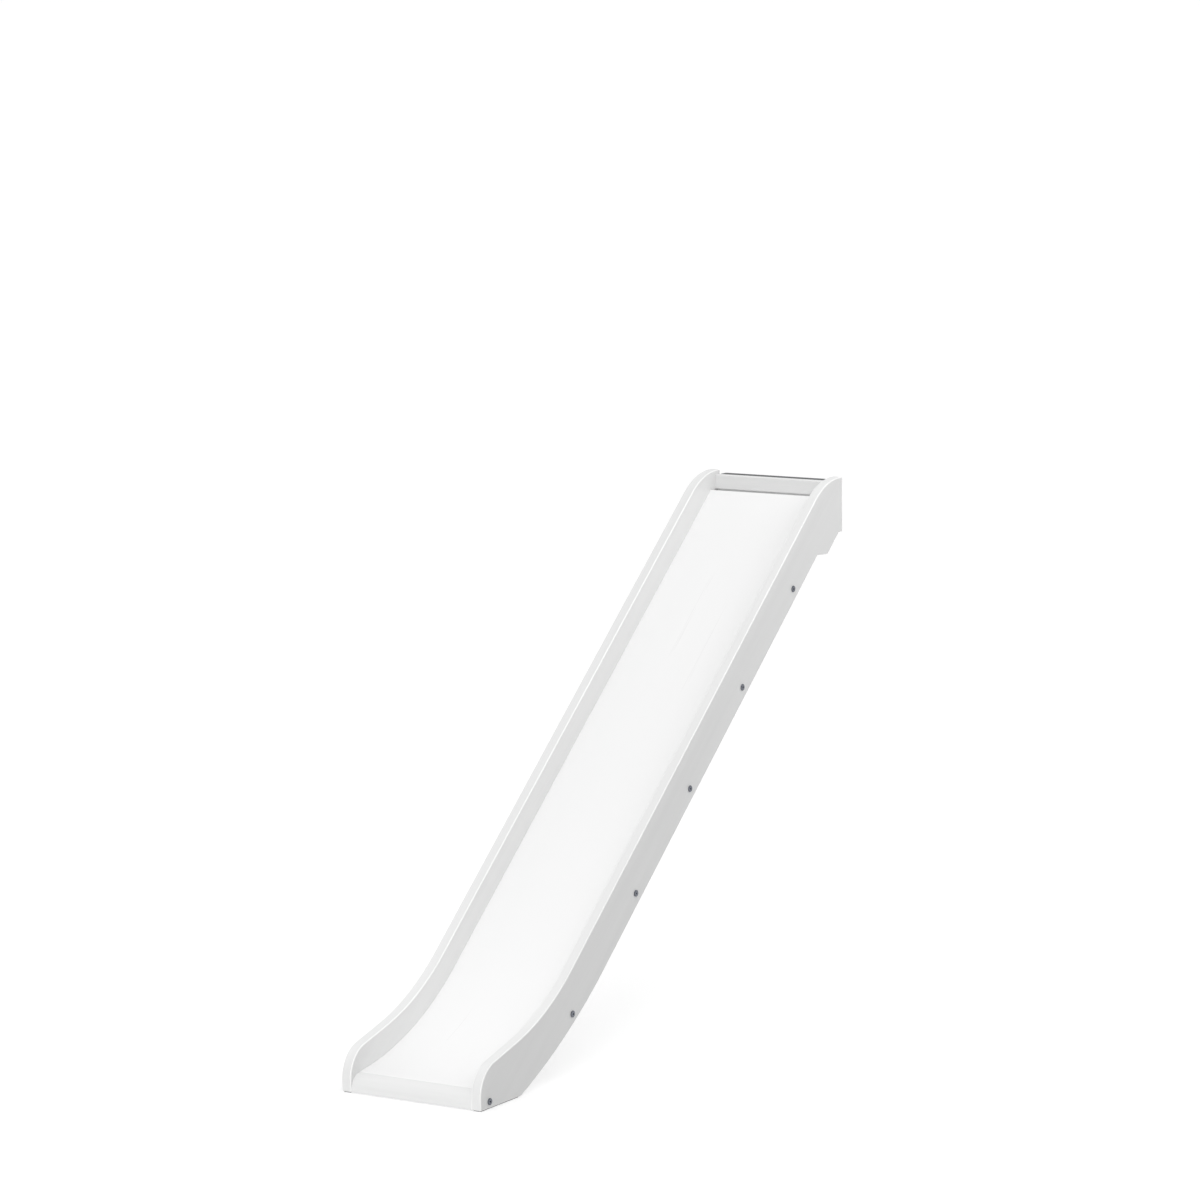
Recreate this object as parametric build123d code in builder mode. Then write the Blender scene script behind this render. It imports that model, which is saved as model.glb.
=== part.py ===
"""Straight slide for a low bunk: two shaped side rails, a bent bed sheet, cross rails and a hook plate.

Frame: X across the slide, -Y towards the foot, +Z up. The origin is the bottom centre of the
whole object's box. Side outlines are drawn in (u, v): u runs forward from the rear face that
meets the bed, v runs up from the floor. Millimetres and degrees throughout.
"""

import os
from math import cos, radians, sin, tan

from build123d import *

os.makedirs("parts", exist_ok=True)

# ---- Overall sizes ------------------------------------------------------------------------
top_height = 1229.0  # floor to the crest of the side rails
inner_width = 321.0  # clear width between the side rails
slope = 40.0  # main slope, down from the horizontal
crest_run = 80.5  # rear face to the sharp corner of crest and slope
foot_run = 273.0  # sharp corner of slope and run-out to the tip

# ---- Side rails ---------------------------------------------------------------------------
rail_thickness = 25.4
rail_depth = 110.0  # square to the slope
rail_arris = 3.5  # rounding of the long edges
crest_radius = 185.0
sweep_radius = 592.0  # hollow curve of the top edge above the foot
tip_height = 87.0  # sharp corner of run-out and tip above the floor
tip_radius = 76.0
run_out = 15.0  # slope of the top edge at the foot
foot_length = 164.0  # tip to heel, along the floor
heel_angle = 24.5  # slope of the lower edge where it meets the floor
heel_radius = 1440.0
ear_extra = 34.0  # how much deeper the rail is beside the top board, square to the slope
ear_drop = 135.0  # crest down to the ear's bottom
step_drop = 182.0  # crest down to the ear's step

# ---- Bed sheet ----------------------------------------------------------------------------
bed_thickness = 5.0
bed_below_crest_edge = 58.5  # bed surface under the rail's top edge, square to the slope
bed_radius = 714.0
bed_run_out = 8.0  # slope of the bed at its front end
bed_rear = 45.0  # rear face to the bed's top end
bed_front_inset = 34.0  # tip to the bed's front end
bed_front_height = 41.8  # bed surface at its front end, above the floor
groove_depth = 8.0
groove_side_gap = 1.0  # sheet edge to the groove's bottom
groove_clearance = 0.15  # on each face of the sheet
groove_end_gap = 2.0

# ---- Cross rails --------------------------------------------------------------------------
cross_rail_width = 60.0
cross_rail_depth = 38.0
cross_rail_round = 3.0
straight_rails = 4
first_rail_inset = 281.0  # bed's top end to the first rail's centre, along the bed
last_rail_inset = 286.0  # last straight rail's centre to the start of the curve
curve_rail_slope = 34.5  # local slope at the rail under the curve

# ---- Top board and nose board -------------------------------------------------------------
board_thickness = 22.0
board_below_crest = 11.5
board_above_ear = 6.0  # board's lower edge above the ear's bottom
board_round = 2.0
board_dowel_rows = 3
board_dowel_edge = 25.0  # board's edges to its outer dowels
nose_depth = 84.0
nose_setback = 1.5  # nose face behind the rails' tips
nose_radius = 36.0
nose_round_share = 0.97  # most of the room in front of the bed that the rounding may take
nose_bolt_inset = 35.0
nose_bolt_height = 17.0
nose_dowel_pitch = 28.0

# ---- Hook plate ---------------------------------------------------------------------------
plate_thickness = 3.0
hook_throat = 28.0  # takes a bed rail up to 27 mm thick
hook_lip = 24.0
hook_leg = 90.0
hook_end_gap = 1.0
hook_bend = 2.0  # inside radius
lock_hole_radius = 4.5
lock_spacing = 200.0
lock_drop = 60.0  # seat down to the lock-bolt holes
screw_to_dowel = 4.75  # screw head to the end of the nearest dowel hole
screw_rows = (20.0, 75.0)  # seat down to each row of screws

# ---- Fasteners ----------------------------------------------------------------------------
bolt_radius = 3.0
bolt_clearance = 0.4
bolt_head_radius = 7.75
bolt_head_thickness = 2.6
bolt_head_round = 1.2
socket_across_flats = 4.0
socket_depth = 2.0
nut_radius = 5.0
nut_length = 14.0
nut_clearance = 0.1
nut_inset = 33.0  # end of the wood to the nut's axis
thread_past_nut = 1.5
bolt_hole_end_gap = 4.0
dowel_radius = 4.0
dowel_length = 40.0
dowel_in_rail = 15.0
dowel_end_gap = 1.0
dowel_chamfer = 1.0
dowel_spread = 20.0  # either side of a cross rail's bolt
screw_core_radius = 2.0
screw_head_radius = 4.75
screw_head_angle = 90.0  # included angle of the countersunk cone
screw_length = 18.0

# ---- Foot pads ----------------------------------------------------------------------------
pad_thickness = 1.5
pad_width = 18.0
pad_tip_inset = 5.0
pad_heel_inset = 8.0


# ---- Derived sizes ------------------------------------------------------------------------
def fall(angle):
    """Drop per unit of forward run on a slope of this many degrees."""
    return tan(radians(angle))


def meet(line_a, line_b):
    """Corner (u, v) of two falling lines, each given as (height at u = 0, slope in degrees)."""
    u = (line_a[0] - line_b[0]) / (fall(line_a[1]) - fall(line_b[1]))
    return (u, line_a[0] - u * fall(line_a[1]))


def lowered(line, depth):
    """The same line moved down, square to itself, by depth."""
    return (line[0] - depth / cos(radians(line[1])), line[1])


def line_through(point, angle):
    """Falling line through the (u, v) point."""
    return (point[1] + point[0] * fall(angle), angle)


def at_height(line, v):
    """Point of the line at height v."""
    return ((line[0] - v) / fall(line[1]), v)


top_line = (top_height + crest_run * fall(slope), slope)
knee_height = tip_height + foot_run * fall(run_out)
top_knee = at_height(top_line, knee_height)
length = top_knee[0] + foot_run
low_line = lowered(top_line, rail_depth)
ear_line = lowered(low_line, ear_extra)
heel = (length - foot_length, pad_thickness)
low_knee = meet(low_line, line_through(heel, heel_angle))
ear_bottom = top_height - ear_drop
ear_step = top_height - step_drop

bed_line = lowered(top_line, bed_below_crest_edge)
bed_start = (bed_rear, bed_line[0] - bed_rear * fall(slope))
bed_end = (length - bed_front_inset, bed_front_height)
bed_knee = meet(bed_line, line_through(bed_end, bed_run_out))
bed_bend = (slope - bed_run_out) / 2
bed_arc_lead = bed_radius * fall(bed_bend)
slope_run = (bed_knee[0] - bed_start[0]) / cos(radians(slope)) - bed_arc_lead
sheet_width = inner_width + 2 * (groove_depth - groove_side_gap)

board_top = top_height - board_below_crest
board_bottom = ear_bottom + board_above_ear
seat_height = board_top - plate_thickness
rail_outer_x = inner_width / 2 + rail_thickness
bolt_length = rail_thickness + nut_inset + nut_radius + thread_past_nut
bolt_hole_radius = bolt_radius + bolt_clearance
nut_hole_radius = nut_radius + nut_clearance
dowel_in_wood = dowel_length - dowel_in_rail
hook_reach = hook_throat + plate_thickness
rear_y = (length + hook_reach) / 2 - hook_reach


# ---- Planes -------------------------------------------------------------------------------
def side_plane(x):
    """Plane square to X: local x is u, local y is v, and the normal points to -X."""
    return Plane(origin=(x, rear_y, 0), x_dir=(0, -1, 0), z_dir=(-1, 0, 0))


def across_plane(side, x, centre):
    """Plane at (u, v) square to X, facing outwards on the given side (-1 left, 1 right)."""
    return Plane(origin=(x, rear_y - centre[0], centre[1]), x_dir=(0, 1, 0), z_dir=(side, 0, 0))


def bed_normal_plane(x, centre, angle):
    """Plane at (u, v) whose normal is the bed's upward normal at this slope."""
    normal = (0, -sin(radians(angle)), cos(radians(angle)))
    return Plane(origin=(x, rear_y - centre[0], centre[1]), x_dir=(1, 0, 0), z_dir=normal)


def below(point, angle, depth):
    """The (u, v) point moved square to the slope, down by depth."""
    return (point[0] - depth * sin(radians(angle)), point[1] - depth * cos(radians(angle)))


def along(point, angle, distance):
    """The (u, v) point moved down the slope by distance."""
    return (point[0] + distance * cos(radians(angle)), point[1] - distance * sin(radians(angle)))


# ---- Outlines -----------------------------------------------------------------------------
def bed_band(above, under, end_gap):
    """Closed outline between two offsets of the bed surface: its points and corner radii."""
    start = along(bed_start, slope, -end_gap)
    end = along(bed_end, bed_run_out, end_gap)
    middle = (slope + bed_run_out) / 2
    stretch = cos(radians(bed_bend))
    points = [
        below(start, slope, -above),
        below(bed_knee, middle, -above / stretch),
        below(end, bed_run_out, -above),
        below(end, bed_run_out, under),
        below(bed_knee, middle, under / stretch),
        below(start, slope, under),
    ]
    return points, [0, bed_radius - above, 0, 0, bed_radius + under, 0]


rail_corners = [
    ((0, top_height), 0),
    ((crest_run, top_height), crest_radius),
    (top_knee, sweep_radius),
    ((length, tip_height), tip_radius),
    ((length, pad_thickness), 0),
    (heel, 0),
    (low_knee, heel_radius),
    (at_height(low_line, ear_step), 0),
    (at_height(ear_line, ear_step), 0),
    (at_height(ear_line, ear_bottom), 0),
    ((0, ear_bottom), 0),
]

# ---- Stations where cross pieces meet the side rails --------------------------------------
axis_depth = bed_thickness + cross_rail_depth / 2
rail_pitch = (slope_run - first_rail_inset - last_rail_inset) / (straight_rails - 1)
straight_centres = [
    below(along(bed_start, slope, first_rail_inset + i * rail_pitch), slope, axis_depth)
    for i in range(straight_rails)
]
curve_start = along(bed_start, slope, slope_run)
curve_centre = below(curve_start, slope, -bed_radius)
curve_rail_centre = below(curve_centre, curve_rail_slope, bed_radius + axis_depth)
cross_stations = [(centre, slope) for centre in straight_centres]
cross_stations.append((curve_rail_centre, curve_rail_slope))

nose_bolt = (length - nose_bolt_inset, nose_bolt_height)
nose_dowel = (nose_bolt[0] - nose_dowel_pitch, nose_bolt_height)
bolt_points = [centre for centre, _ in cross_stations] + [nose_bolt]

board_rear = plate_thickness
board_middle = board_rear + board_thickness / 2
lowest_dowel = board_bottom + board_dowel_edge
board_pitch = (board_top - board_dowel_edge - lowest_dowel) / (board_dowel_rows - 1)
board_dowels = [(board_middle, lowest_dowel + i * board_pitch) for i in range(board_dowel_rows)]
cross_dowels = [
    [along(centre, angle, offset) for offset in (-dowel_spread, dowel_spread)]
    for centre, angle in cross_stations
]
dowel_points = [point for pair in cross_dowels for point in pair] + [nose_dowel] + board_dowels


# ---- Side rails ---------------------------------------------------------------------------
with BuildPart() as left_side_rail:
    with BuildSketch(side_plane(-inner_width / 2)):
        with BuildLine():
            FilletPolyline(
                *[corner for corner, _ in rail_corners],
                radius=[radius for _, radius in rail_corners],
                close=True,
            )
        make_face()
    extrude(amount=rail_thickness)
    broad_faces = left_side_rail.faces().filter_by(Axis.X)
    fillet(broad_faces.edges(), radius=rail_arris)
    groove_points, groove_radii = bed_band(
        groove_clearance, bed_thickness + groove_clearance, groove_end_gap
    )
    with BuildSketch(side_plane(-inner_width / 2)):
        with BuildLine():
            FilletPolyline(*groove_points, radius=groove_radii, close=True)
        make_face()
    extrude(amount=groove_depth, mode=Mode.SUBTRACT)
    with Locations(*[across_plane(-1, -rail_outer_x, point) for point in bolt_points]):
        Hole(radius=bolt_hole_radius, depth=rail_thickness)
    with Locations(*[across_plane(1, -inner_width / 2, point) for point in dowel_points]):
        Hole(radius=dowel_radius, depth=dowel_in_rail + dowel_end_gap)
left_side_rail.part.label = "left_side_rail"
export_step(left_side_rail.part, "parts/left_side_rail.step")

with BuildPart() as right_side_rail:
    mirror(left_side_rail.part, about=Plane.YZ)
right_side_rail.part.label = "right_side_rail"
export_step(right_side_rail.part, "parts/right_side_rail.step")

# ---- Bed sheet ----------------------------------------------------------------------------
with BuildPart() as slide_bed:
    sheet_points, sheet_radii = bed_band(0, bed_thickness, 0)
    with BuildSketch(side_plane(0)):
        with BuildLine():
            FilletPolyline(*sheet_points, radius=sheet_radii, close=True)
        make_face()
    extrude(amount=sheet_width / 2, both=True)
slide_bed.part.label = "slide_bed"
export_step(slide_bed.part, "parts/slide_bed.step")


# ---- Cross rails --------------------------------------------------------------------------
def end_planes(points):
    """Outward planes on both ends of a piece as wide as the bed, at each (u, v) point."""
    return [
        across_plane(side, side * inner_width / 2, point) for side in (-1, 1) for point in points
    ]


def nut_mouths(centre, angle, depth):
    """Planes on a piece's underside, facing down, under both barrel nuts."""
    mouth = below(centre, angle, depth)
    planes = [
        bed_normal_plane(side * (inner_width / 2 - nut_inset), mouth, angle) for side in (-1, 1)
    ]
    return [Plane(origin=p.origin, x_dir=p.x_dir, z_dir=-p.z_dir) for p in planes]


for index, (centre, angle) in enumerate(cross_stations):
    curved = index == straight_rails
    name = "curve_cross_rail" if curved else f"cross_rail_{index + 1}"
    with BuildPart() as cross_rail:
        with BuildSketch(side_plane(0)):
            with Locations(centre):
                Rectangle(cross_rail_width, cross_rail_depth, rotation=-angle)
        extrude(amount=inner_width / 2, both=True)
        fillet(cross_rail.edges().filter_by(Axis.X), radius=cross_rail_round)
        with Locations(*end_planes([centre])):
            Hole(radius=bolt_hole_radius, depth=bolt_length - rail_thickness + bolt_hole_end_gap)
        with Locations(*end_planes(cross_dowels[index])):
            Hole(radius=dowel_radius, depth=dowel_in_wood + dowel_end_gap)
        with Locations(*nut_mouths(centre, angle, cross_rail_depth / 2)):
            Hole(radius=nut_hole_radius, depth=cross_rail_depth / 2 + nut_length / 2)
    cross_rail.part.label = name
    export_step(cross_rail.part, f"parts/{name}.step")

# ---- Top board ----------------------------------------------------------------------------
lock_points = [(side * lock_spacing / 2, seat_height - lock_drop) for side in (-1, 1)]
board_dowel_hole_end = inner_width / 2 - dowel_in_wood - dowel_end_gap
screw_column = board_dowel_hole_end - screw_to_dowel - screw_head_radius
screw_points = [
    (side * screw_column, seat_height - row) for side in (-1, 1) for row in screw_rows
]


def rear_plane(x, v, u):
    """Plane square to Y at (x, v), u in front of the rear face, facing the bed (+Y)."""
    return Plane(origin=(x, rear_y - u, v), x_dir=(-1, 0, 0), z_dir=(0, 1, 0))


with BuildPart() as top_board:
    with BuildSketch(side_plane(0)):
        with Locations((board_middle, (board_top + board_bottom) / 2)):
            Rectangle(board_thickness, board_top - board_bottom)
    extrude(amount=inner_width / 2, both=True)
    front_edges = top_board.edges().filter_by(Axis.X).group_by(Axis.Y)[0]
    fillet(front_edges, radius=board_round)
    with Locations(*end_planes(board_dowels)):
        Hole(radius=dowel_radius, depth=dowel_in_wood + dowel_end_gap)
    with Locations(*[rear_plane(x, v, board_rear) for x, v in lock_points]):
        Hole(radius=lock_hole_radius, depth=board_thickness)
    with Locations(*[rear_plane(x, v, board_rear) for x, v in screw_points]):
        Hole(radius=screw_core_radius, depth=screw_length - plate_thickness)
top_board.part.label = "top_board"
export_step(top_board.part, "parts/top_board.step")

# ---- Nose board ---------------------------------------------------------------------------
nose_front = length - nose_setback
nose_rear = nose_front - nose_depth
nose_line = line_through(bed_end, bed_run_out)
nose_ledge = lowered(nose_line, bed_thickness)
rebate_surface = along(bed_end, bed_run_out, groove_clearance)
rebate_corner = below(rebate_surface, bed_run_out, bed_thickness)
nose_corner = (nose_front, nose_line[0] - nose_front * fall(bed_run_out))
nose_lead = min(nose_front - rebate_surface[0], nose_corner[1] - pad_thickness)
nose_round = min(nose_radius, nose_round_share * nose_lead / fall((90 - bed_run_out) / 2))

with BuildPart() as nose_board:
    nose_corners = [
        ((nose_rear, pad_thickness), 0),
        ((nose_rear, nose_ledge[0] - nose_rear * fall(bed_run_out)), 0),
        (rebate_corner, 0),
        (rebate_surface, 0),
        (nose_corner, nose_round),
        ((nose_front, pad_thickness), 0),
    ]
    with BuildSketch(side_plane(0)):
        with BuildLine():
            FilletPolyline(
                *[corner for corner, _ in nose_corners],
                radius=[radius for _, radius in nose_corners],
                close=True,
            )
        make_face()
    extrude(amount=inner_width / 2, both=True)
    with Locations(*end_planes([nose_bolt])):
        Hole(radius=bolt_hole_radius, depth=bolt_length - rail_thickness + bolt_hole_end_gap)
    with Locations(*end_planes([nose_dowel])):
        Hole(radius=dowel_radius, depth=dowel_in_wood + dowel_end_gap)
    with Locations(*nut_mouths(nose_bolt, 0, nose_bolt_height - pad_thickness)):
        Hole(radius=nut_hole_radius, depth=nose_bolt_height - pad_thickness + nut_length / 2)
nose_board.part.label = "nose_board"
export_step(nose_board.part, "parts/nose_board.step")

# ---- Hook plate ---------------------------------------------------------------------------
with BuildPart() as hook_plate:
    hook_corners = [
        ((plate_thickness, seat_height - hook_leg), 0),
        ((plate_thickness, board_top), hook_bend + plate_thickness),
        ((-hook_reach, board_top), hook_bend + plate_thickness),
        ((-hook_reach, seat_height - hook_lip), 0),
        ((-hook_throat, seat_height - hook_lip), 0),
        ((-hook_throat, seat_height), hook_bend),
        ((0, seat_height), hook_bend),
        ((0, seat_height - hook_leg), 0),
    ]
    with BuildSketch(side_plane(0)):
        with BuildLine():
            FilletPolyline(
                *[corner for corner, _ in hook_corners],
                radius=[radius for _, radius in hook_corners],
                close=True,
            )
        make_face()
    extrude(amount=inner_width / 2 - hook_end_gap, both=True)
    with Locations(*[rear_plane(x, v, 0) for x, v in lock_points]):
        Hole(radius=lock_hole_radius, depth=plate_thickness)
    with Locations(*[rear_plane(x, v, 0) for x, v in screw_points]):
        CounterSinkHole(
            radius=screw_core_radius,
            counter_sink_radius=screw_head_radius,
            depth=plate_thickness,
            counter_sink_angle=screw_head_angle,
        )
hook_plate.part.label = "hook_plate"
export_step(hook_plate.part, "parts/hook_plate.step")


# ---- Fasteners ----------------------------------------------------------------------------
def make_bolt():
    """Connector bolt on Z: head above z = 0, shank below it, hexagon socket in the head."""
    with BuildPart() as bolt:
        with BuildSketch():
            Circle(bolt_head_radius)
        extrude(amount=bolt_head_thickness)
        fillet(bolt.edges().group_by(Axis.Z)[-1], radius=bolt_head_round)
        with BuildSketch():
            Circle(bolt_radius)
        extrude(amount=-bolt_length)
        with BuildSketch(Plane.XY.offset(bolt_head_thickness)):
            RegularPolygon(radius=socket_across_flats / 2, side_count=6, major_radius=False)
        extrude(amount=-socket_depth, mode=Mode.SUBTRACT)
    return bolt.part


def make_barrel_nut():
    """Barrel nut centred on the origin, its barrel along Z and its threaded hole along X."""
    with BuildPart() as nut:
        Cylinder(radius=nut_radius, height=nut_length)
        with Locations(Plane(origin=(nut_radius, 0, 0), z_dir=(1, 0, 0))):
            Hole(radius=bolt_radius, depth=2 * nut_radius)
    return nut.part


def make_dowel():
    """Wooden dowel along -Z from z = 0, with chamfered ends."""
    with BuildPart() as dowel:
        with BuildSketch():
            Circle(dowel_radius)
        extrude(amount=-dowel_length)
        chamfer(dowel.edges().filter_by(GeomType.CIRCLE), length=dowel_chamfer)
    return dowel.part


def make_screw():
    """Countersunk screw along -Z, its flat head level with z = 0."""
    cone_height = (screw_head_radius - screw_core_radius) / fall(screw_head_angle / 2)
    with BuildPart() as screw:
        with BuildSketch():
            Circle(screw_core_radius)
        extrude(amount=-screw_length)
        with Locations((0, 0, -cone_height / 2)):
            Cone(screw_core_radius, screw_head_radius, cone_height)
    return screw.part


bolt_shape = make_bolt()
nut_shape = make_barrel_nut()
dowel_shape = make_dowel()
screw_shape = make_screw()
nut_stations = cross_stations + [(nose_bolt, 0)]

for side, side_name in ((-1, "left"), (1, "right")):
    with BuildPart() as bolts:
        with Locations(*[across_plane(side, side * rail_outer_x, point) for point in bolt_points]):
            add(bolt_shape)
    bolts.part.label = f"bolts_{side_name}"
    export_step(bolts.part, f"parts/bolts_{side_name}.step")

    with BuildPart() as barrel_nuts:
        nut_x = side * (inner_width / 2 - nut_inset)
        with Locations(*[bed_normal_plane(nut_x, centre, angle) for centre, angle in nut_stations]):
            add(nut_shape)
    barrel_nuts.part.label = f"barrel_nuts_{side_name}"
    export_step(barrel_nuts.part, f"parts/barrel_nuts_{side_name}.step")

    with BuildPart() as dowels:
        dowel_x = side * (inner_width / 2 + dowel_in_rail)
        with Locations(*[across_plane(side, dowel_x, point) for point in dowel_points]):
            add(dowel_shape)
    dowels.part.label = f"dowels_{side_name}"
    export_step(dowels.part, f"parts/dowels_{side_name}.step")

    with BuildPart() as foot_pad:
        pad_rear = heel[0] + pad_heel_inset
        pad_front = length - pad_tip_inset
        pad_x = side * (inner_width + rail_thickness) / 2
        with BuildSketch(Plane(origin=(pad_x, rear_y - (pad_rear + pad_front) / 2, 0))):
            Rectangle(pad_width, pad_front - pad_rear)
        extrude(amount=pad_thickness)
    foot_pad.part.label = f"{side_name}_foot_pad"
    export_step(foot_pad.part, f"parts/{side_name}_foot_pad.step")

with BuildPart() as hook_screws:
    with Locations(*[rear_plane(x, v, 0) for x, v in screw_points]):
        add(screw_shape)
hook_screws.part.label = "hook_screws"
export_step(hook_screws.part, "parts/hook_screws.step")

print(f"length {length:.1f}, hook reach {hook_reach:.1f}, rear face at Y {rear_y:.2f}")
print(f"rail pitch along the bed {rail_pitch:.1f}, bolt length {bolt_length:.1f}")
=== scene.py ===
"""Straight slide for a low bunk, dressed for a studio view.

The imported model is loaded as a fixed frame. Its boards, bed sheet, plate and fasteners are worked out
again here as smooth closed surfaces of the same sizes, with eased edges, and given their finishes.
Metres and degrees throughout: X across the slide, -Y towards the foot, +Z up. Side views are drawn in
(u, v): u runs forward from the rear face that meets the bunk, v runs up from the floor.
"""
import logging
import math
from dataclasses import dataclass
from enum import Enum
from typing import Optional, Sequence, Union

import bpy
import numpy as np
from mathutils import Matrix, Vector
from mathutils.geometry import delaunay_2d_cdt


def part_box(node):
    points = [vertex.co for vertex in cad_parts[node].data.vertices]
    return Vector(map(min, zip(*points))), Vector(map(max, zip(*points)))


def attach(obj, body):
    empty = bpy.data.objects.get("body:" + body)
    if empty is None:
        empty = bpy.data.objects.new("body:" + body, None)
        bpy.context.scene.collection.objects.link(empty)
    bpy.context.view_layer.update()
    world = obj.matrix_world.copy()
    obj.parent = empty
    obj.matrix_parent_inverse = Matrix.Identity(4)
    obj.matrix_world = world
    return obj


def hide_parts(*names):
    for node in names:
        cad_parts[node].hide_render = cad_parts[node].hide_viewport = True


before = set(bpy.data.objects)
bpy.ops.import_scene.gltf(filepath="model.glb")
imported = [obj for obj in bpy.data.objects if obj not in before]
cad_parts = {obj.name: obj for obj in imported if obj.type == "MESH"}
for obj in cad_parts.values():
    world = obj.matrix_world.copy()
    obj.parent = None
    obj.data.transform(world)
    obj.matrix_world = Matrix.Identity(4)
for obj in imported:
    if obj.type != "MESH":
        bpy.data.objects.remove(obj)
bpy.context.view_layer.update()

Array = np.ndarray
Point = tuple[float, float]
Triple = tuple[float, float, float]
Material = bpy.types.Material
Socket = bpy.types.NodeSocket
LOG = logging.getLogger("slide")

SAGITTA = 0.00002  # furthest that a rounding's facets may lie inside the true arc
MERGE_DIGITS = 7  # points that agree to this many digits of a metre are one vertex
HOLE_SIDES = 32  # facets round a bored hole
EASE_ROOM = 1.02  # an outline's small roundings over the ease that insets them
# The eased-edge share places the coat's wear and, on the paint, a painted highlight.
WEAR_AND_HIGHLIGHT = "eased_edge"  # vertex attribute: 1 on the middle of an eased edge, 0 on the flats


class Side(Enum):
    """Left or right of the slide, as seen from its foot; the value is the sign of X."""

    LEFT = -1
    RIGHT = 1

    @property
    def word(self) -> str:
        """The side's name as the frame's nodes spell it."""
        return self.name.lower()


class Grain(Enum):
    """Direction in which a board's grain runs."""

    DOWN_SLOPE = "down the slope"
    ACROSS = "across the slide"


# ---- Lines and outlines of the side view ----------------------------------------------------
@dataclass(frozen=True)
class Fall:
    """A straight line of the side view that falls forwards.

    Attributes:
        height: where the line meets the rear face, u = 0.
        slope: degrees that it falls below the horizontal.
    """

    height: float
    slope: float

    @property
    def rate(self) -> float:
        """Drop for each metre of forward run: the slope's tangent."""
        return math.tan(math.radians(self.slope))

    @property
    def ahead(self) -> Array:
        """Unit vector down the line."""
        return np.array([math.cos(math.radians(self.slope)), -math.sin(math.radians(self.slope))])

    @property
    def up(self) -> Array:
        """Unit vector square to the line, on its upper side."""
        return np.array([math.sin(math.radians(self.slope)), math.cos(math.radians(self.slope))])

    def at(self, u: float) -> Point:
        """The line's point this far in front of the rear face."""
        return (u, self.height - u * self.rate)

    def at_height(self, v: float) -> Point:
        """The line's point at this height above the floor."""
        return ((self.height - v) / self.rate, v)

    def lowered(self, depth: float) -> "Fall":
        """The same line moved down, square to itself."""
        return Fall(self.height - depth / math.cos(math.radians(self.slope)), self.slope)

    def meet(self, other: "Fall") -> Point:
        """The corner where two lines of different slope cross."""
        return self.at((self.height - other.height) / (self.rate - other.rate))

    @staticmethod
    def through(point: Point, slope: float) -> "Fall":
        """The line of this slope through a point."""
        return Fall(point[1] + point[0] * math.tan(math.radians(slope)), slope)


@dataclass(frozen=True)
class Loop:
    """A closed outline, counter-clockwise, with its outward normals.

    Attributes:
        points: (n, 2) array of points.
        normals: (n, 2) array of unit vectors that point out of the outline.
    """

    points: Array
    normals: Array

    def inset(self, depth: float) -> Array:
        """Every point moved inwards along its own normal by depth."""
        return self.points - depth * self.normals

    def edge_near(self, point: Array) -> int:
        """Number of the straight edge that passes closest to a point.

        The distance from point q to the edge from p to p + e is the length of q - p - t e, where t is
        the dot product (q - p) . e over e . e, held between 0 and 1.

        Args:
            point: (u, v) of the point.

        Returns:
            The number of the edge's first point.
        """
        edge = np.roll(self.points, -1, axis=0) - self.points
        away = point - self.points
        length = np.maximum((edge * edge).sum(1), 1e-18)
        share = np.clip((away * edge).sum(1) / length, 0, 1)
        return int(np.argmin(np.linalg.norm(away - share[:, None] * edge, axis=1)))


def unit(vectors: Array) -> Array:
    """The same vectors, each made 1 long."""
    return vectors / np.maximum(np.linalg.norm(vectors, axis=-1, keepdims=True), 1e-12)


def rounded_loop(corners: Sequence[tuple[Sequence[float], float]]) -> Loop:
    """Outline through corners, each rounded by an arc that is tangent to both its sides.

    With a and b the unit vectors from a corner to its neighbours and h half the angle between them,
    the arc's centre is the corner plus radius / sin h along the unit of a + b. The outline's normal
    turns evenly from one side's normal to the next side's, and each point is the centre plus radius
    times that normal, or less it on a hollow corner. The steps keep the sagitta, radius times step
    squared over 8, at SAGITTA. A corner of radius 0 is two points, one with each side's normal.

    Args:
        corners: (u, v) of each sharp corner, and the radius of its rounding.

    Returns:
        The rounded outline. On a hollow corner the normals point towards the arc's centre.
    """
    sharp = np.array([corner for corner, _ in corners], float)
    radii = np.array([radius for _, radius in corners], float)
    after = np.roll(sharp, -1, axis=0)
    if (sharp[:, 0] * after[:, 1] - after[:, 0] * sharp[:, 1]).sum() < 0:
        sharp, radii = sharp[::-1], radii[::-1]
    back = unit(np.roll(sharp, 1, axis=0) - sharp)
    ahead = unit(np.roll(sharp, -1, axis=0) - sharp)
    half = np.arccos(np.clip((back * ahead).sum(1), -1, 1)) / 2
    centres = sharp + unit(back + ahead) * (radii / np.sin(half))[:, None]
    begin = np.arctan2(back[:, 0], -back[:, 1])
    turn = np.arctan2(-ahead[:, 0], ahead[:, 1]) - begin
    turn = (turn + np.pi) % (2 * np.pi) - np.pi
    points, normals = [], []
    for centre, radius, start, sweep in zip(centres, radii, begin, turn):
        steps = 1 if radius == 0 else max(4, math.ceil(abs(sweep) / math.sqrt(8 * SAGITTA / radius)))
        angle = start + sweep * np.linspace(0, 1, steps + 1)
        normal = np.stack([np.cos(angle), np.sin(angle)], axis=1)
        points.append(centre + math.copysign(radius, sweep) * normal)
        normals.append(normal)
    return Loop(np.concatenate(points), np.concatenate(normals))


def circle(centre: Sequence[float], radius: float) -> Loop:
    """A round outline: its centre plus radius times the unit vectors of evenly spread angles.

    Args:
        centre: its middle.
        radius: its radius.

    Returns:
        The outline.
    """
    angle = np.linspace(0, 2 * np.pi, HOLE_SIDES, endpoint=False)
    spoke = np.stack([np.cos(angle), np.sin(angle)], axis=1)
    return Loop(np.asarray(centre, float) + radius * spoke, spoke)


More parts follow.
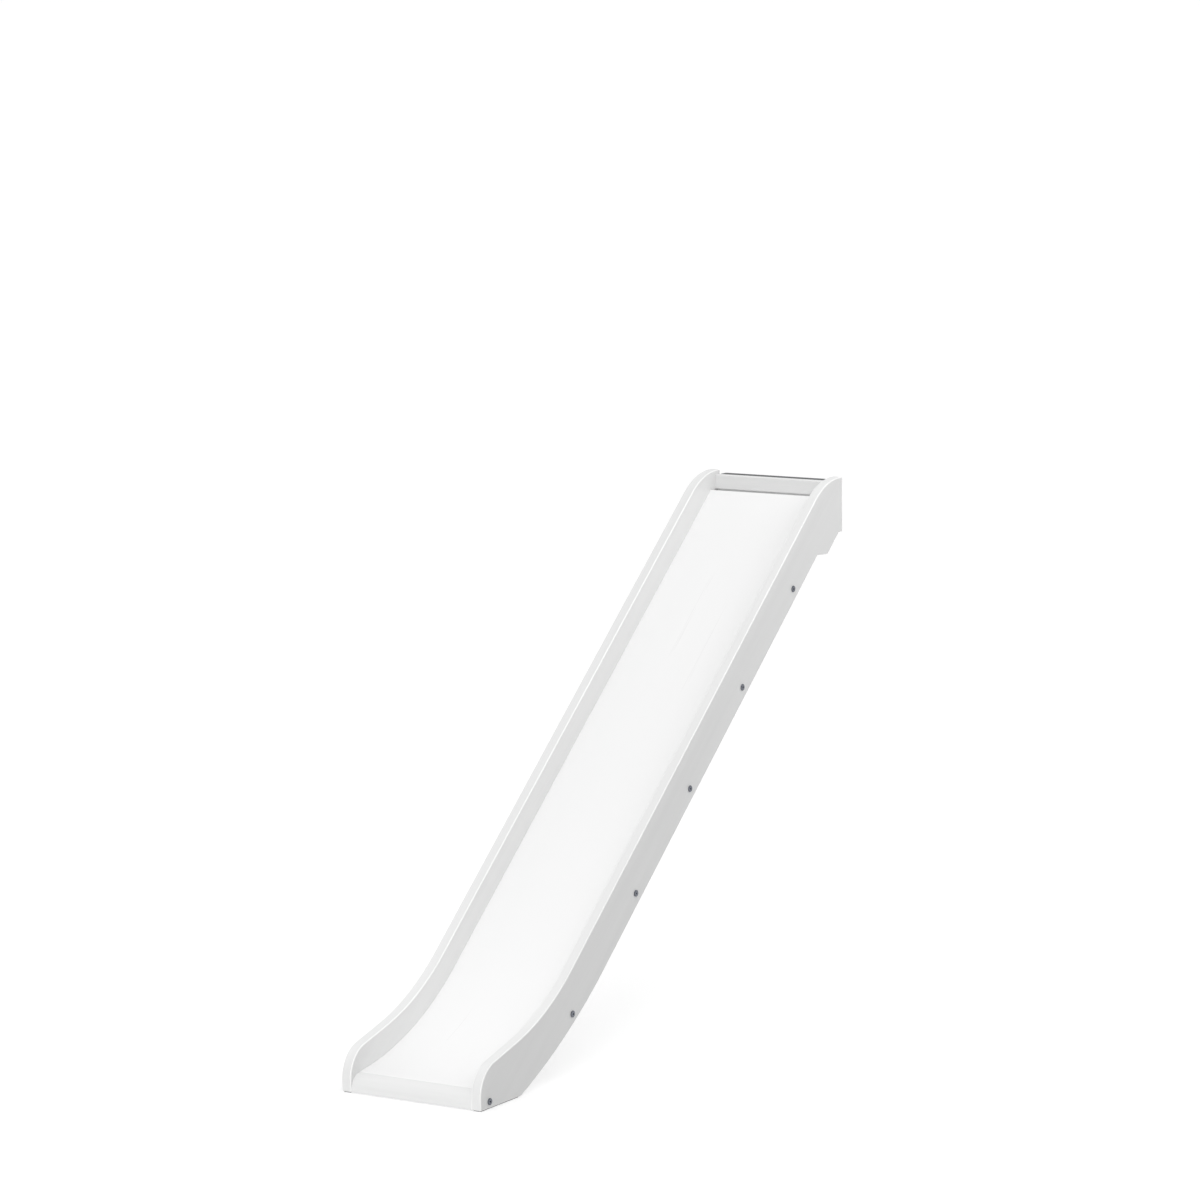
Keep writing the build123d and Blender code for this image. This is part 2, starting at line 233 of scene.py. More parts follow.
# ---- Patches: pieces of a closed surface ----------------------------------------------------
@dataclass(frozen=True)
class Patch:
    """Part of a surface, with a normal for each corner of each face.

    Attributes:
        points: (n, 3) places.
        faces: (m, 3) or (m, 4) numbers of points, wound so that each face looks outwards.
        normals: (m, 3, 3) or (m, 4, 3) unit vectors, one for each face's corner.
        wear_and_highlight: (n,) how much each point lies on an eased edge, 0 to 1.
    """

    points: Array
    faces: Array
    normals: Array
    wear_and_highlight: Array


def outward(points: Array, faces: Array, normals: Array) -> tuple[Array, Array]:
    """Turns each face over that winds against its corner normals.

    A face's own direction is the cross product of its two diagonals, or of two sides of a triangle.

    Args:
        points: (n, 3) places.
        faces: (m, k) numbers of points.
        normals: (m, k, 3) corner normals.

    Returns:
        The faces and their corner normals, in the new order.
    """
    far = faces[:, 3] if faces.shape[1] == 4 else faces[:, 0]
    near = faces[:, 1]
    across = points[faces[:, 2]] - points[faces[:, 0]]
    other = points[far] - points[near]
    facing = (np.cross(across, other) * normals.sum(1)).sum(1)
    wrong = (facing < 0)[:, None]
    return np.where(wrong, faces[:, ::-1], faces), np.where(wrong[..., None], normals[:, ::-1], normals)


def ring_quads(rows: int, columns: int, closed: bool = True) -> Array:
    """Quads between neighbouring rows of a grid whose columns close on themselves, or don't.

    Args:
        rows: number of rows.
        columns: points in each row.
        closed: whether the last column joins the first.

    Returns:
        (m, 4) numbers of points, counted along the rows.
    """
    row = np.arange(rows - 1)[:, None] * columns
    column = np.arange(columns if closed else columns - 1)[None, :]
    beside = (column + 1) % columns
    corners = [row + column, row + columns + column, row + columns + beside, row + beside]
    return np.stack(corners, axis=-1).reshape(-1, 4)


def swept(points: Array, normals: Array, wear_and_highlight: Optional[Array] = None,
          keep: Optional[Array] = None) -> Patch:
    """Patch from a grid of rows around an outline, with known normals.

    Args:
        points: (rows, columns, 3) places.
        normals: (rows, columns, 3) unit vectors.
        wear_and_highlight: (rows,) share of eased edge, or None for none.
        keep: (rows - 1, columns) which quads to make, or None for all.

    Returns:
        The patch, closed round the outline.
    """
    rows, columns = points.shape[:2]
    faces = ring_quads(rows, columns)
    if keep is not None:
        faces = faces[keep.ravel()]
    flat, directions = points.reshape(-1, 3), normals.reshape(-1, 3)
    faces, corner_normals = outward(flat, faces, directions[faces])
    share = np.zeros(rows) if wear_and_highlight is None else wear_and_highlight
    return Patch(flat, faces, corner_normals, np.repeat(share, columns))


def blended(points: Array, crisp: bool = False) -> Patch:
    """Patch from a grid of rings that run from one pole of a turned piece to the other.

    A face's normal is the step along the rows crossed with the step round the ring, taken on its
    diagonals. A smooth patch's corners take the sum of the faces around each point, a crisp one's
    take their own face's.

    Args:
        points: (rows, columns, 3) places, each row anticlockwise about the piece's own axis.
        crisp: whether each face keeps its own flat shading.

    Returns:
        The patch.
    """
    rows, columns = points.shape[:2]
    faces = ring_quads(rows, columns)
    flat = points.reshape(-1, 3)
    corners = flat[faces]
    own = np.cross(corners[:, 2] - corners[:, 0], corners[:, 3] - corners[:, 1])
    if crisp:
        normals = np.repeat(unit(own)[:, None, :], 4, axis=1)
    else:
        total = np.zeros_like(flat)
        np.add.at(total, faces.ravel(), np.repeat(own, 4, axis=0))
        normals = unit(total)[faces]
    return Patch(flat, faces, normals, np.zeros(len(flat)))


@dataclass(frozen=True)
class Face:
    """A flat face of a piece, with its own axes a and b.

    Attributes:
        origin: place of (0, 0).
        a: unit vector of the first axis.
        b: unit vector of the second axis.
        normal: unit vector out of the material.
    """

    origin: Array
    a: Array
    b: Array
    normal: Array

    def place(self, points: Array, depth: float = 0.0) -> Array:
        """Origin plus the points' parts along a and b, less depth along the normal."""
        return self.origin + points[:, :1] * self.a + points[:, 1:] * self.b - depth * self.normal


@dataclass(frozen=True)
class Pocket:
    """A hole or recess that goes square into a flat face.

    Attributes:
        mouth: its outline on the face.
        steps: (inset, depth) of each further ring of its wall; one step is a straight wall, and none
            is the far mouth of a hole that another face's pocket walls.
        floor: whether its last ring is closed.
    """

    mouth: Loop
    steps: tuple[Point, ...] = ()
    floor: bool = False

    def moved(self, shift: float) -> "Pocket":
        """The same pocket with its mouth moved along the face's first axis."""
        return Pocket(Loop(self.mouth.points + (shift, 0), self.mouth.normals), self.steps, self.floor)

    def walls(self, face: Face) -> list[Patch]:
        """Walls and floor of the pocket.

        Each ring is the mouth moved inwards by its inset and down by its depth. Between two rings
        that differ by i in inset and d in depth, the wall looks along i times the face's normal less
        d times the mouth's outward normal.

        Args:
            face: the face that the pocket starts on.

        Returns:
            One patch for each step, and one for the floor.
        """
        spokes = self.mouth.normals[:, :1] * face.a + self.mouth.normals[:, 1:] * face.b
        patches, last = [], (0.0, 0.0)
        for step in self.steps:
            rows = np.stack([face.place(self.mouth.inset(inset), depth)
                             for inset, depth in (last, step)])
            look = unit((step[0] - last[0]) * face.normal - (step[1] - last[1]) * spokes)
            patches.append(swept(rows, np.stack([look, look])))
            last = step
        if self.floor:
            bottom = Face(face.origin - last[1] * face.normal, face.a, face.b, face.normal)
            patches.append(plate(bottom, self.mouth.inset(last[0])))
        return patches


def plate(face: Face, rim: Array, mouths: Sequence[Array] = ()) -> Patch:
    """Flat patch inside a rim and outside its mouths.

    The points are joined by a triangulation that keeps every rim and mouth edge. A triangle stays if
    its middle lies inside an odd number of the outlines, counted by the edges that a ray crosses.

    Args:
        face: the plane.
        rim: (n, 2) outer outline in the face's axes.
        mouths: outlines of the openings in it.

    Returns:
        The patch.
    """
    outlines = [rim, *mouths]
    flat = np.concatenate(outlines)
    starts = np.cumsum([0] + [len(line) for line in outlines])
    joins = [np.arange(len(line)) + start for line, start in zip(outlines, starts)]
    edges = np.concatenate([np.stack([line, np.roll(line, -1)], axis=1) for line in joins])
    made = delaunay_2d_cdt([Vector(p) for p in flat], edges.tolist(), [], 0, 1e-9)
    source = np.array([origin[0] for origin in made[3]])
    faces = source[np.array(made[2])]
    middle = flat[faces].mean(axis=1)
    low, high = flat[edges[:, 0]], flat[edges[:, 1]]
    spans = (low[None, :, 1] > middle[:, None, 1]) != (high[None, :, 1] > middle[:, None, 1])
    rise = np.where(np.abs(high - low)[:, 1] < 1e-15, 1.0, (high - low)[:, 1])
    crossing = low[:, 0] + (middle[:, None, 1] - low[:, 1]) / rise * (high - low)[:, 0]
    inside = (spans & (crossing > middle[:, None, 0])).sum(axis=1) % 2 == 1
    faces = faces[inside]
    places = face.place(flat)
    normals = np.broadcast_to(face.normal, (len(faces), 3, 3))
    faces, normals = outward(places, faces, normals)
    return Patch(places, faces, normals, np.zeros(len(places)))


def pierced(face: Face, rim: Array, pockets: Sequence[Pocket]) -> list[Patch]:
    """A flat face inside a rim, with the pockets that go into it.

    Args:
        face: the plane.
        rim: (n, 2) outer outline in the face's axes.
        pockets: the pockets.

    Returns:
        The plate and the pockets' walls.
    """
    patches = [plate(face, rim, [pocket.mouth.points for pocket in pockets])]
    for pocket in pockets:
        patches += pocket.walls(face)
    return patches


def solid(name: str, patches: Sequence[Patch]) -> bpy.types.Object:
    """One closed mesh from patches that share their borders.

    Points that agree to MERGE_DIGITS become one vertex. A quad with two corners on one vertex, as at
    a pole, becomes a triangle. Corner normals go into the mesh as they are, so a border between two
    patches is as crisp or as smooth as they say.

    Args:
        name: the piece's name.
        patches: all parts of its surface.

    Returns:
        The piece, at the origin, with its place in its mesh.
    """
    points = np.concatenate([part.points for part in patches])
    rounded = np.round(points, MERGE_DIGITS) + 0.0
    _, first, index = np.unique(rounded, axis=0, return_index=True, return_inverse=True)
    index = index.ravel()
    corners, normals, totals = [], [], []
    start = 0
    for part in patches:
        merged = index[part.faces + start]
        keep = merged != np.roll(merged, -1, axis=1)
        keep &= (keep.sum(axis=1) > 2)[:, None]
        corners.append(merged[keep])
        normals.append(part.normals[keep])
        totals.append(keep.sum(axis=1)[keep.any(axis=1)])
        start += len(part.points)
    corner, total = np.concatenate(corners), np.concatenate(totals)
    mesh = bpy.data.meshes.new(name)
    mesh.vertices.add(len(first))
    mesh.vertices.foreach_set("co", points[first].astype(np.float32).ravel())
    mesh.loops.add(len(corner))
    mesh.loops.foreach_set("vertex_index", corner.astype(np.int32))
    mesh.polygons.add(len(total))
    mesh.polygons.foreach_set("loop_start", (np.cumsum(total) - total).astype(np.int32))
    mesh.polygons.foreach_set("loop_total", total.astype(np.int32))
    mesh.polygons.foreach_set("use_smooth", np.ones(len(total), bool))
    mesh.update(calc_edges=True)
    wear_and_highlight = np.concatenate([part.wear_and_highlight for part in patches])[first]
    mesh.attributes.new(WEAR_AND_HIGHLIGHT, "FLOAT", "POINT").data.foreach_set("value", wear_and_highlight.astype(np.float32))
    mesh.normals_split_custom_set(np.concatenate(normals))
    piece = bpy.data.objects.new(name, mesh)
    bpy.context.scene.collection.objects.link(piece)
    return piece


# ---- Boards: an outline of the side view carried across the slide ----------------------------
@dataclass(frozen=True)
class SideView:
    """Where the side view's (u, v) lies in the frame.

    Attributes:
        rear: Y of the rear face, u = 0.
    """

    rear: float

    def place(self, points: Array, across: float) -> Array:
        """(n, 3) places of side-view points at one X: Y is rear - u and Z is v."""
        return np.stack([np.full(len(points), across), self.rear - points[:, 0], points[:, 1]], axis=1)

    def turn(self, vectors: Array) -> Array:
        """(n, 3) directions of side-view vectors: Y is -u and Z is v."""
        return np.stack([np.zeros(len(vectors)), -vectors[:, 0], vectors[:, 1]], axis=1)

    def end(self, across: float, facing: int) -> Face:
        """The flat end of a piece at one X, looking to -X or +X; its axes are u and v."""
        axes = np.array([[0, -1, 0], [0, 0, 1], [facing, 0, 0]], float)
        return Face(np.array([across, self.rear, 0.0]), *axes)

    def middle(self, node: str) -> Array:
        """(u, v) of the middle of a node's box."""
        low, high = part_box(node)
        return np.array([self.rear - (low.y + high.y) / 2, (low.z + high.z) / 2])


@dataclass(frozen=True)
class Board:
    """An outline carried across the slide, its two ends eased by quarter rounds.

    Attributes:
        view: the side view.
        loop: the outline; each of its roundings is larger than the ease.
        left: X of the left end.
        right: X of the right end.
        ease: radius of the quarter rounds.
        steps: facets in each quarter round.
    """

    view: SideView
    loop: Loop
    left: float
    right: float
    ease: float
    steps: int = 4

    def skin(self, open_edges: Sequence[int] = ()) -> Patch:
        """The surface between both ends.

        At angle t of a quarter round, from 0 on the end to 90 degrees on the outline, a row lies
        ease (1 - cos t) in from the end and its outline is inset by ease (1 - sin t). Its normal is
        cos t across plus sin t along the outline's own. The share of eased edge, which places the
        coat's wear and the paint's painted highlight, is sin 2t, so it peaks half way round.

        Args:
            open_edges: numbers of outline edges whose flat is left open for a plate.

        Returns:
            The patch.
        """
        turn = np.linspace(0, np.pi / 2, self.steps + 1)
        turns = np.concatenate([turn, turn[::-1]])
        facing = np.concatenate([-np.ones_like(turn), np.ones_like(turn)])
        across = np.where(facing < 0, self.left, self.right) - facing * self.ease * (1 - np.cos(turns))
        insets = self.ease * (1 - np.sin(turns))
        rows = np.stack([self.view.place(self.loop.inset(i), x) for i, x in zip(insets, across)])
        sideways = np.zeros_like(rows)
        sideways[..., 0] = (facing * np.cos(turns))[:, None]
        normals = sideways + np.sin(turns)[:, None, None] * self.view.turn(self.loop.normals)
        keep = np.ones((len(turns) - 1, len(self.loop.points)), bool)
        keep[self.steps, list(open_edges)] = False
        return swept(rows, normals, wear_and_highlight=np.sin(2 * turns), keep=keep)

    def end_plates(self, left: Sequence[Pocket] = (), right: Sequence[Pocket] = ()) -> list[Patch]:
        """Both flat ends.

        Args:
            left: pockets in the left end, in (u, v).
            right: pockets in the right end.

        Returns:
            The two plates and the pockets' walls.
        """
        rim = self.loop.inset(self.ease)
        return (pierced(self.view.end(self.left, -1), rim, left)
                + pierced(self.view.end(self.right, 1), rim, right))

    def flat(self, edge: int, pockets: Sequence[tuple[Sequence[float], Pocket]]) -> list[Patch]:
        """The flat that one outline edge makes, with pockets in it.

        Args:
            edge: the outline edge's number.
            pockets: (u, v) on the edge of each pocket's middle, and the pocket, whose mouth is drawn
                about (0, X).

        Returns:
            The plate and the pockets' walls.
        """
        ends = self.loop.points[[edge, (edge + 1) % len(self.loop.points)]]
        length = float(np.linalg.norm(ends[1] - ends[0]))
        origin = self.view.place(ends[:1], 0.0)[0]
        along = unit(self.view.turn(ends[1:] - ends[:1]))[0]
        normal = self.view.turn(self.loop.normals[edge:edge + 1])[0]
        face = Face(origin, along, np.array([1.0, 0, 0]), normal)
        low, high = self.left + self.ease, self.right - self.ease
        rim = np.array([[0, low], [length, low], [length, high], [0, high]])
        ahead = unit(ends[1] - ends[0])
        shifts = [float((np.array(middle) - ends[0]) @ ahead) for middle, _ in pockets]
        return pierced(face, rim, [pocket.moved(s) for s, (_, pocket) in zip(shifts, pockets)])


def stopped_hole(centre: Sequence[float], radius: float, depth: float) -> Pocket:
    """A round hole with a flat floor."""
    return Pocket(circle(centre, radius), ((0.0, depth),), floor=True)


def open_hole(centre: Sequence[float], radius: float, depth: float) -> Pocket:
    """A round hole that comes out on the other side."""
    return Pocket(circle(centre, radius), ((0.0, depth),))


def far_mouth(centre: Sequence[float], radius: float) -> Pocket:
    """The round mouth by which a hole that starts on another face comes out."""
    return Pocket(circle(centre, radius))


# ---- Turned pieces --------------------------------------------------------------------------
TURN_SIDES = 48  # facets round a turned piece
THREAD_ROWS = 8  # rows in each turn of a thread
RIDGE_RISE, RIDGE_DROP = 1.25, 0.1  # the thread's wave is stretched and lowered before it is clipped


def angles() -> Array:
    """Angles of a turned piece's columns, evenly spread from 0."""
    return np.linspace(0, 2 * np.pi, TURN_SIDES, endpoint=False)


def rings(radii: Sequence, heights: Sequence[float]) -> Array:
    """(rows, columns, 3) rings about Z.

    Args:
        radii: each ring's radius, one number or one for each column.
        heights: each ring's height.

    Returns:
        Radius times (cos, sin) of each column's angle, at the ring's height.
    """
    turn = angles()
    radius = np.stack([np.broadcast_to(np.asarray(r, float), turn.shape) for r in radii])
    height = np.broadcast_to(np.asarray(heights, float)[:, None], radius.shape)
    return np.stack([radius * np.cos(turn), radius * np.sin(turn), height], axis=-1)


def hexagon(across_flats: float) -> Array:
    """Radius of a hexagon at each angle: half its width over the cosine of the angle to its flat."""
    turn = (angles() + np.pi / 6) % (np.pi / 3) - np.pi / 6
    return across_flats / 2 / np.cos(turn)


def slot(half_length: float, half_width: float) -> Array:
    """Radius of a rectangle at each angle: the nearer of its long and its short sides.

    Args:
        half_length: half its length, along the angle 0.
        half_width: half its width.

    Returns:
        One radius for each column.
    """
    turn = angles()
    long_side = half_width / np.maximum(np.abs(np.sin(turn)), 1e-9)
    short_side = half_length / np.maximum(np.abs(np.cos(turn)), 1e-9)
    return np.minimum(long_side, short_side)


def cross(half_length: float, half_width: float) -> Array:
    """Radius of two crossed slots at each angle: the further of the two."""
    one = slot(half_length, half_width)
    return np.maximum(one, np.roll(one, TURN_SIDES // 4))


def thread(top: float, bottom: float, crest: float, root: float, pitch: float) -> Array:
    """Rings of a helical ridge, fading out at both ends.

    The ridge's share of its height is a triangle wave of height / pitch less the turn, clipped to give
    a flat crest and root, times a ramp that rises over one pitch at each end.

    Args:
        top: height where it starts.
        bottom: height where it ends.
        crest: outer radius.
        root: radius between the turns.
        pitch: rise of one turn.

    Returns:
        (rows, columns, 3) points.
    """
    rows = math.ceil((top - bottom) / pitch * THREAD_ROWS) + 1
    heights = np.linspace(top, bottom, rows)
    phase = (heights[:, None] / pitch - angles() / (2 * np.pi)) % 1.0
    ridge = np.clip(RIDGE_RISE * (1 - np.abs(2 * phase - 1)) - RIDGE_DROP, 0, 1)
    ramp = np.clip(np.minimum(top - heights, heights - bottom) / pitch, 0, 1)[:, None]
    return rings(list(crest + (root - crest) * (1 - ridge) * ramp), heights)


@dataclass(frozen=True)
class Spot:
    """Place and direction of a turned piece.

    Attributes:
        origin: where its own origin goes.
        axis: unit vector that its own +Z points along.
        roll: degrees that it is turned about its axis.
    """

    origin: Array
    axis: Array
    roll: float = 0.0

    def move(self, part: Patch) -> Patch:
        """The patch turned and moved to the spot, by the matrix whose rows are the spot's axes.

        Args:
            part: a patch about the piece's own axes.

        Returns:
            The patch in the frame.
        """
        helper = np.array([1.0, 0, 0]) if abs(self.axis[0]) < 0.9 else np.array([0, 1.0, 0])
        first = unit(np.cross(helper, self.axis))
        second = np.cross(self.axis, first)
        swing = math.radians(self.roll)
        local_x = math.cos(swing) * first + math.sin(swing) * second
        axes = np.stack([local_x, np.cross(self.axis, local_x), self.axis])
        return Patch(part.points @ axes + self.origin, part.faces, part.normals @ axes, part.wear_and_highlight)


def repeated(parts: Sequence[Patch], spots: Sequence[Spot]) -> list[Patch]:
    """Every patch at every spot."""
    return [spot.move(part) for spot in spots for part in parts]


# ---- Finishes -------------------------------------------------------------------------------
MIX_COLOUR_INPUTS = (6, 7)  # the mix node's two colour sockets
MIX_COLOUR_OUTPUT = 2


class Shader:
    """A new material whose nodes are wired with short calls."""

    def __init__(self, name: str) -> None:
        """Makes the material with one Principled surface.

        Args:
            name: the material's name.
        """
        self.material = bpy.data.materials.new(name)
        self.material.use_nodes = True
        tree = self.material.node_tree
        self.nodes, self.links = tree.nodes, tree.links
        self.surface = self.nodes["Principled BSDF"]

    def add(self, kind: str, **settings: object) -> bpy.types.Node:
        """A new node of this kind, with its properties set.

        Args:
            kind: the node's type.
            settings: its properties.

        Returns:
            The node.
        """
        node = self.nodes.new(kind)
        for name, value in settings.items():
            setattr(node, name, value)
        return node

    def fix(self, **values: object) -> None:
        """Sets values on the surface's own sockets; a name's underscores stand for spaces."""
        for name, value in values.items():
            self.surface.inputs[name.replace("_", " ")].default_value = value

    def mapped(self, scale: Sequence[float], turn_x: float = 0.0) -> Socket:
        """Socket with the piece's own coordinates, turned about X and then scaled.

        Args:
            scale: factor on each axis, in turns of the pattern for each metre.
            turn_x: degrees.

        Returns:
            The socket.
        """
        place = self.add("ShaderNodeTexCoord")
        turned = self.add("ShaderNodeMapping")
        turned.inputs["Rotation"].default_value = (math.radians(turn_x), 0, 0)
        scaled = self.add("ShaderNodeMapping")
        scaled.inputs["Scale"].default_value = tuple(scale)
        self.links.new(place.outputs["Object"], turned.inputs["Vector"])
        self.links.new(turned.outputs["Vector"], scaled.inputs["Vector"])
        return scaled.outputs["Vector"]

    def noise(self, scale: Sequence[float], turn_x: float = 0.0, detail: float = 3.0,
              rough: float = 0.5) -> Socket:
        """Socket with noise, 0 to 1, fixed to the piece.

        Args:
            scale: factor on each axis, in turns of the pattern for each metre.
            turn_x: degrees that the pattern is turned about X.
            detail: octaves of finer noise.
            rough: strength of each octave over the one before.

        Returns:
            The socket.
        """
        node = self.add("ShaderNodeTexNoise")
        for name, number in (("Scale", 1.0), ("Detail", detail), ("Roughness", rough)):
            node.inputs[name].default_value = number
        self.links.new(self.mapped(scale, turn_x), node.inputs["Vector"])
        return node.outputs["Fac"]

    def remap(self, value: Socket, low: float, high: float, start: float = 0.3,
              stop: float = 0.7) -> Socket:
        """Socket that runs from low to high while the value runs from start to stop.

        Args:
            value: the value's socket.
            low: result at start and below.
            high: result at stop and above.
            start: value that gives low.
            stop: value that gives high.

        Returns:
            The socket.
        """
        node = self.add("ShaderNodeMapRange")
        for name, number in (("From Min", start), ("From Max", stop), ("To Min", low), ("To Max", high)):
            node.inputs[name].default_value = number
        self.links.new(value, node.inputs["Value"])
        return node.outputs["Result"]

    def mixed(self, share: Socket, first: Union[Triple, Socket],
              second: Union[Triple, Socket]) -> Socket:
        """Socket with a colour between two.

        Args:
            share: socket with the second colour's share, 0 to 1.
            first: a colour, or a socket with one.
            second: a colour, or a socket with one.

        Returns:
            The socket.
        """
        node = self.add("ShaderNodeMix", data_type="RGBA")
        self.links.new(share, node.inputs["Factor"])
        for number, colour in zip(MIX_COLOUR_INPUTS, (first, second)):
            if isinstance(colour, Socket):
                self.links.new(colour, node.inputs[number])
            else:
                node.inputs[number].default_value = (*colour, 1.0)
        return node.outputs[MIX_COLOUR_OUTPUT]

    def summed(self, first: Socket, second: Socket, weight: float = 1.0) -> Socket:
        """Socket with the first value plus weight times the second.

        Args:
            first: the first value's socket.
            second: the second value's socket.
            weight: factor on the second.

        Returns:
            The socket.
        """
        node = self.add("ShaderNodeMath", operation="MULTIPLY_ADD")
        self.links.new(second, node.inputs[0])
        node.inputs[1].default_value = weight
        self.links.new(first, node.inputs[2])
        return node.outputs[0]

    def tinted(self, share: Socket, colour: Triple, tints: Point) -> Socket:
        """Socket with a colour that runs between two tints of itself, each a factor on it."""
        return self.mixed(share, shade(colour, tints[0]), shade(colour, tints[1]))

    def wear_and_highlight(self) -> Socket:
        """Socket with the piece's share of eased edge."""
        return self.add("ShaderNodeAttribute", attribute_name=WEAR_AND_HIGHLIGHT).outputs["Fac"]

    def colour(self, socket: Socket) -> None:
        """Links a socket to the surface's colour."""
        self.links.new(socket, self.surface.inputs["Base Color"])

    def roughness(self, socket: Socket) -> None:
        """Links a socket to the surface's roughness."""
        self.links.new(socket, self.surface.inputs["Roughness"])

    def bump(self, height: Socket, depth: float, strength: float = 1.0) -> None:
        """Raises the surface by a height times a depth.

        Args:
            height: the height's socket, 0 to 1.
            depth: metres.
            strength: share of the bump that shows.
        """
        node = self.add("ShaderNodeBump")
        node.inputs["Distance"].default_value = depth
        node.inputs["Strength"].default_value = strength
        self.links.new(height, node.inputs["Height"])
        self.links.new(node.outputs["Normal"], self.surface.inputs["Normal"])


def shade(colour: Triple, factor: float) -> Triple:
    """A colour with each part multiplied by a factor."""
    return tuple(part * factor for part in colour)


@dataclass(frozen=True)
class PaintedWood:
    """Satin white paint on sanded wood, through which the grain shows faintly.

    Attributes:
        grain: the way the grain runs.
        slope: degrees of the slope that the grain may follow.
        colour: colour of the paint.
        painted_highlight: colour of the paint on the eased edges.
        tints: factors on the colour, in the grain's hollows and on its ridges.
        roughness: lowest and highest.
        fibres: turns for each metre across the grain, and along it.
        bands: the same for its broad bands.
        clouds: turns for each metre of the drift in gloss.
        relief: height of the grain in metres.
    """

    grain: Grain
    slope: float
    colour: Triple = (0.800, 0.802, 0.800)
    # painted highlight: a lighter paint colour on the eased edges, standing in for the light they catch
    painted_highlight: Triple = (0.965, 0.965, 0.960)
    tints: Point = (0.978, 1.016)
    roughness: Point = (0.29, 0.40)
    fibres: Point = (700, 9)
    bands: Point = (45, 1.6)
    clouds: float = 9
    relief: float = 0.00008

    def along_grain(self, shader: Shader, turns: Point, detail: float) -> Socket:
        """Socket with noise drawn out along the grain.

        Args:
            shader: the material.
            turns: turns for each metre across the grain, and along it.
            detail: octaves of finer noise.

        Returns:
            The socket.
        """
        across, along = turns
        if self.grain is Grain.DOWN_SLOPE:
            return shader.noise((across, along, across), -self.slope, detail)
        return shader.noise((along, across, across), detail=detail)

    def material(self) -> Material:
        """Fibres 1.4 mm wide and broad soft bands tint and raise the paint; a painted highlight
        lightens the eased edges.

        Returns:
            The material.
        """
        shader = Shader(f"painted_wood_{self.grain.name.lower()}")
        fibres = self.along_grain(shader, self.fibres, detail=4)
        bands = self.along_grain(shader, self.bands, detail=2)
        cloud = shader.noise((self.clouds,) * 3, detail=2)
        tint = shader.remap(shader.summed(fibres, bands, 1.6), 0.0, 1.0, 0.9, 1.7)
        # painted highlight: the eased edges are mixed towards the lighter colour, standing in for the
        # light they catch
        worn_and_highlit = shader.remap(shader.wear_and_highlight(), 0.0, 1.0, 0.40, 0.85)
        shader.colour(shader.mixed(worn_and_highlit, shader.tinted(tint, self.colour, self.tints), self.painted_highlight))
        shader.roughness(shader.remap(shader.summed(cloud, fibres, 0.5), *self.roughness, 0.5, 1.0))
        shader.bump(shader.summed(fibres, bands, 2.0), self.relief, 0.50)
        shader.fix(IOR=1.47, Coat_Weight=0.35, Coat_Roughness=0.16, Coat_IOR=1.5)
        return shader.material


@dataclass(frozen=True)
class Laminate:
    """Smooth white laminate with faint hair lines and scuffs down the slide.

    Attributes:
        colour: its colour.
        tints: factors on the colour, between the scuffs and in them.
        roughness: lowest and highest.
        pebble: turns for each metre of its fine pebble.
        lines: turns for each metre of the hair lines, on each axis.
        scuffs: the same for the scuffs.
        relief: height of the pebble in metres.
    """

    colour: Triple = (0.905, 0.905, 0.905)
    tints: Point = (1.0, 0.997)
    roughness: Point = (0.27, 0.35)
    pebble: float = 420
    lines: Triple = (520, 2.2, 2.2)
    scuffs: Triple = (26, 1.1, 1.1)
    relief: float = 0.00003

    def material(self) -> Material:
        """The pebble raises it, and the lines and scuffs vary its gloss.

        Returns:
            The material.
        """
        shader = Shader("bed_laminate")
        pebble = shader.noise((self.pebble,) * 3, detail=2)
        lines = shader.noise(self.lines, detail=5, rough=0.6)
        scuffs = shader.noise(self.scuffs, detail=3)
        gloss = shader.summed(scuffs, lines, 0.4)
        shader.roughness(shader.remap(gloss, *self.roughness, 0.45, 0.95))
        tint = shader.remap(scuffs, 0.0, 1.0, 0.3, 0.75)
        shader.colour(shader.tinted(tint, self.colour, self.tints))
        shader.bump(shader.summed(pebble, lines, 0.05), self.relief, 0.22)
        shader.fix(IOR=1.50)
        return shader.material


@dataclass(frozen=True)
class PowderCoat:
    """Dark textured coat on bent steel.

    Attributes:
        colour: its colour.
        tints: factors on the colour, where the coat is darkest and lightest.
        worn_and_highlit: factor on the colour where the coat is thin.
        roughness: lowest and highest.
        pebble: turns for each metre of its pebble.
        clouds: turns for each metre of its drift in colour.
        relief: height of the pebble in metres.
    """

    colour: Triple = (0.030, 0.033, 0.038)
    tints: Point = (0.85, 1.25)
    worn_and_highlit: float = 4.0
    roughness: Point = (0.42, 0.58)
    pebble: float = 1500
    clouds: float = 30
    relief: float = 0.00012

    def material(self) -> Material:
        """A pebble under a millimetre wide raises it, and the coat is thin and grey on its edges.

        Returns:
            The material.
        """
        shader = Shader("dark_steel")
        pebble = shader.noise((self.pebble,) * 3)
        cloud = shader.noise((self.clouds,) * 3)
        coat = shader.tinted(cloud, self.colour, self.tints)
        thin = shader.remap(shader.summed(shader.wear_and_highlight(), cloud, 0.8), 0.0, 0.7, 1.0, 1.5)
        shader.colour(shader.mixed(thin, coat, shade(self.colour, self.worn_and_highlit)))
        shader.roughness(shader.remap(pebble, *self.roughness))
        shader.bump(pebble, self.relief, 0.6)
        shader.fix(IOR=1.50)
        return shader.material


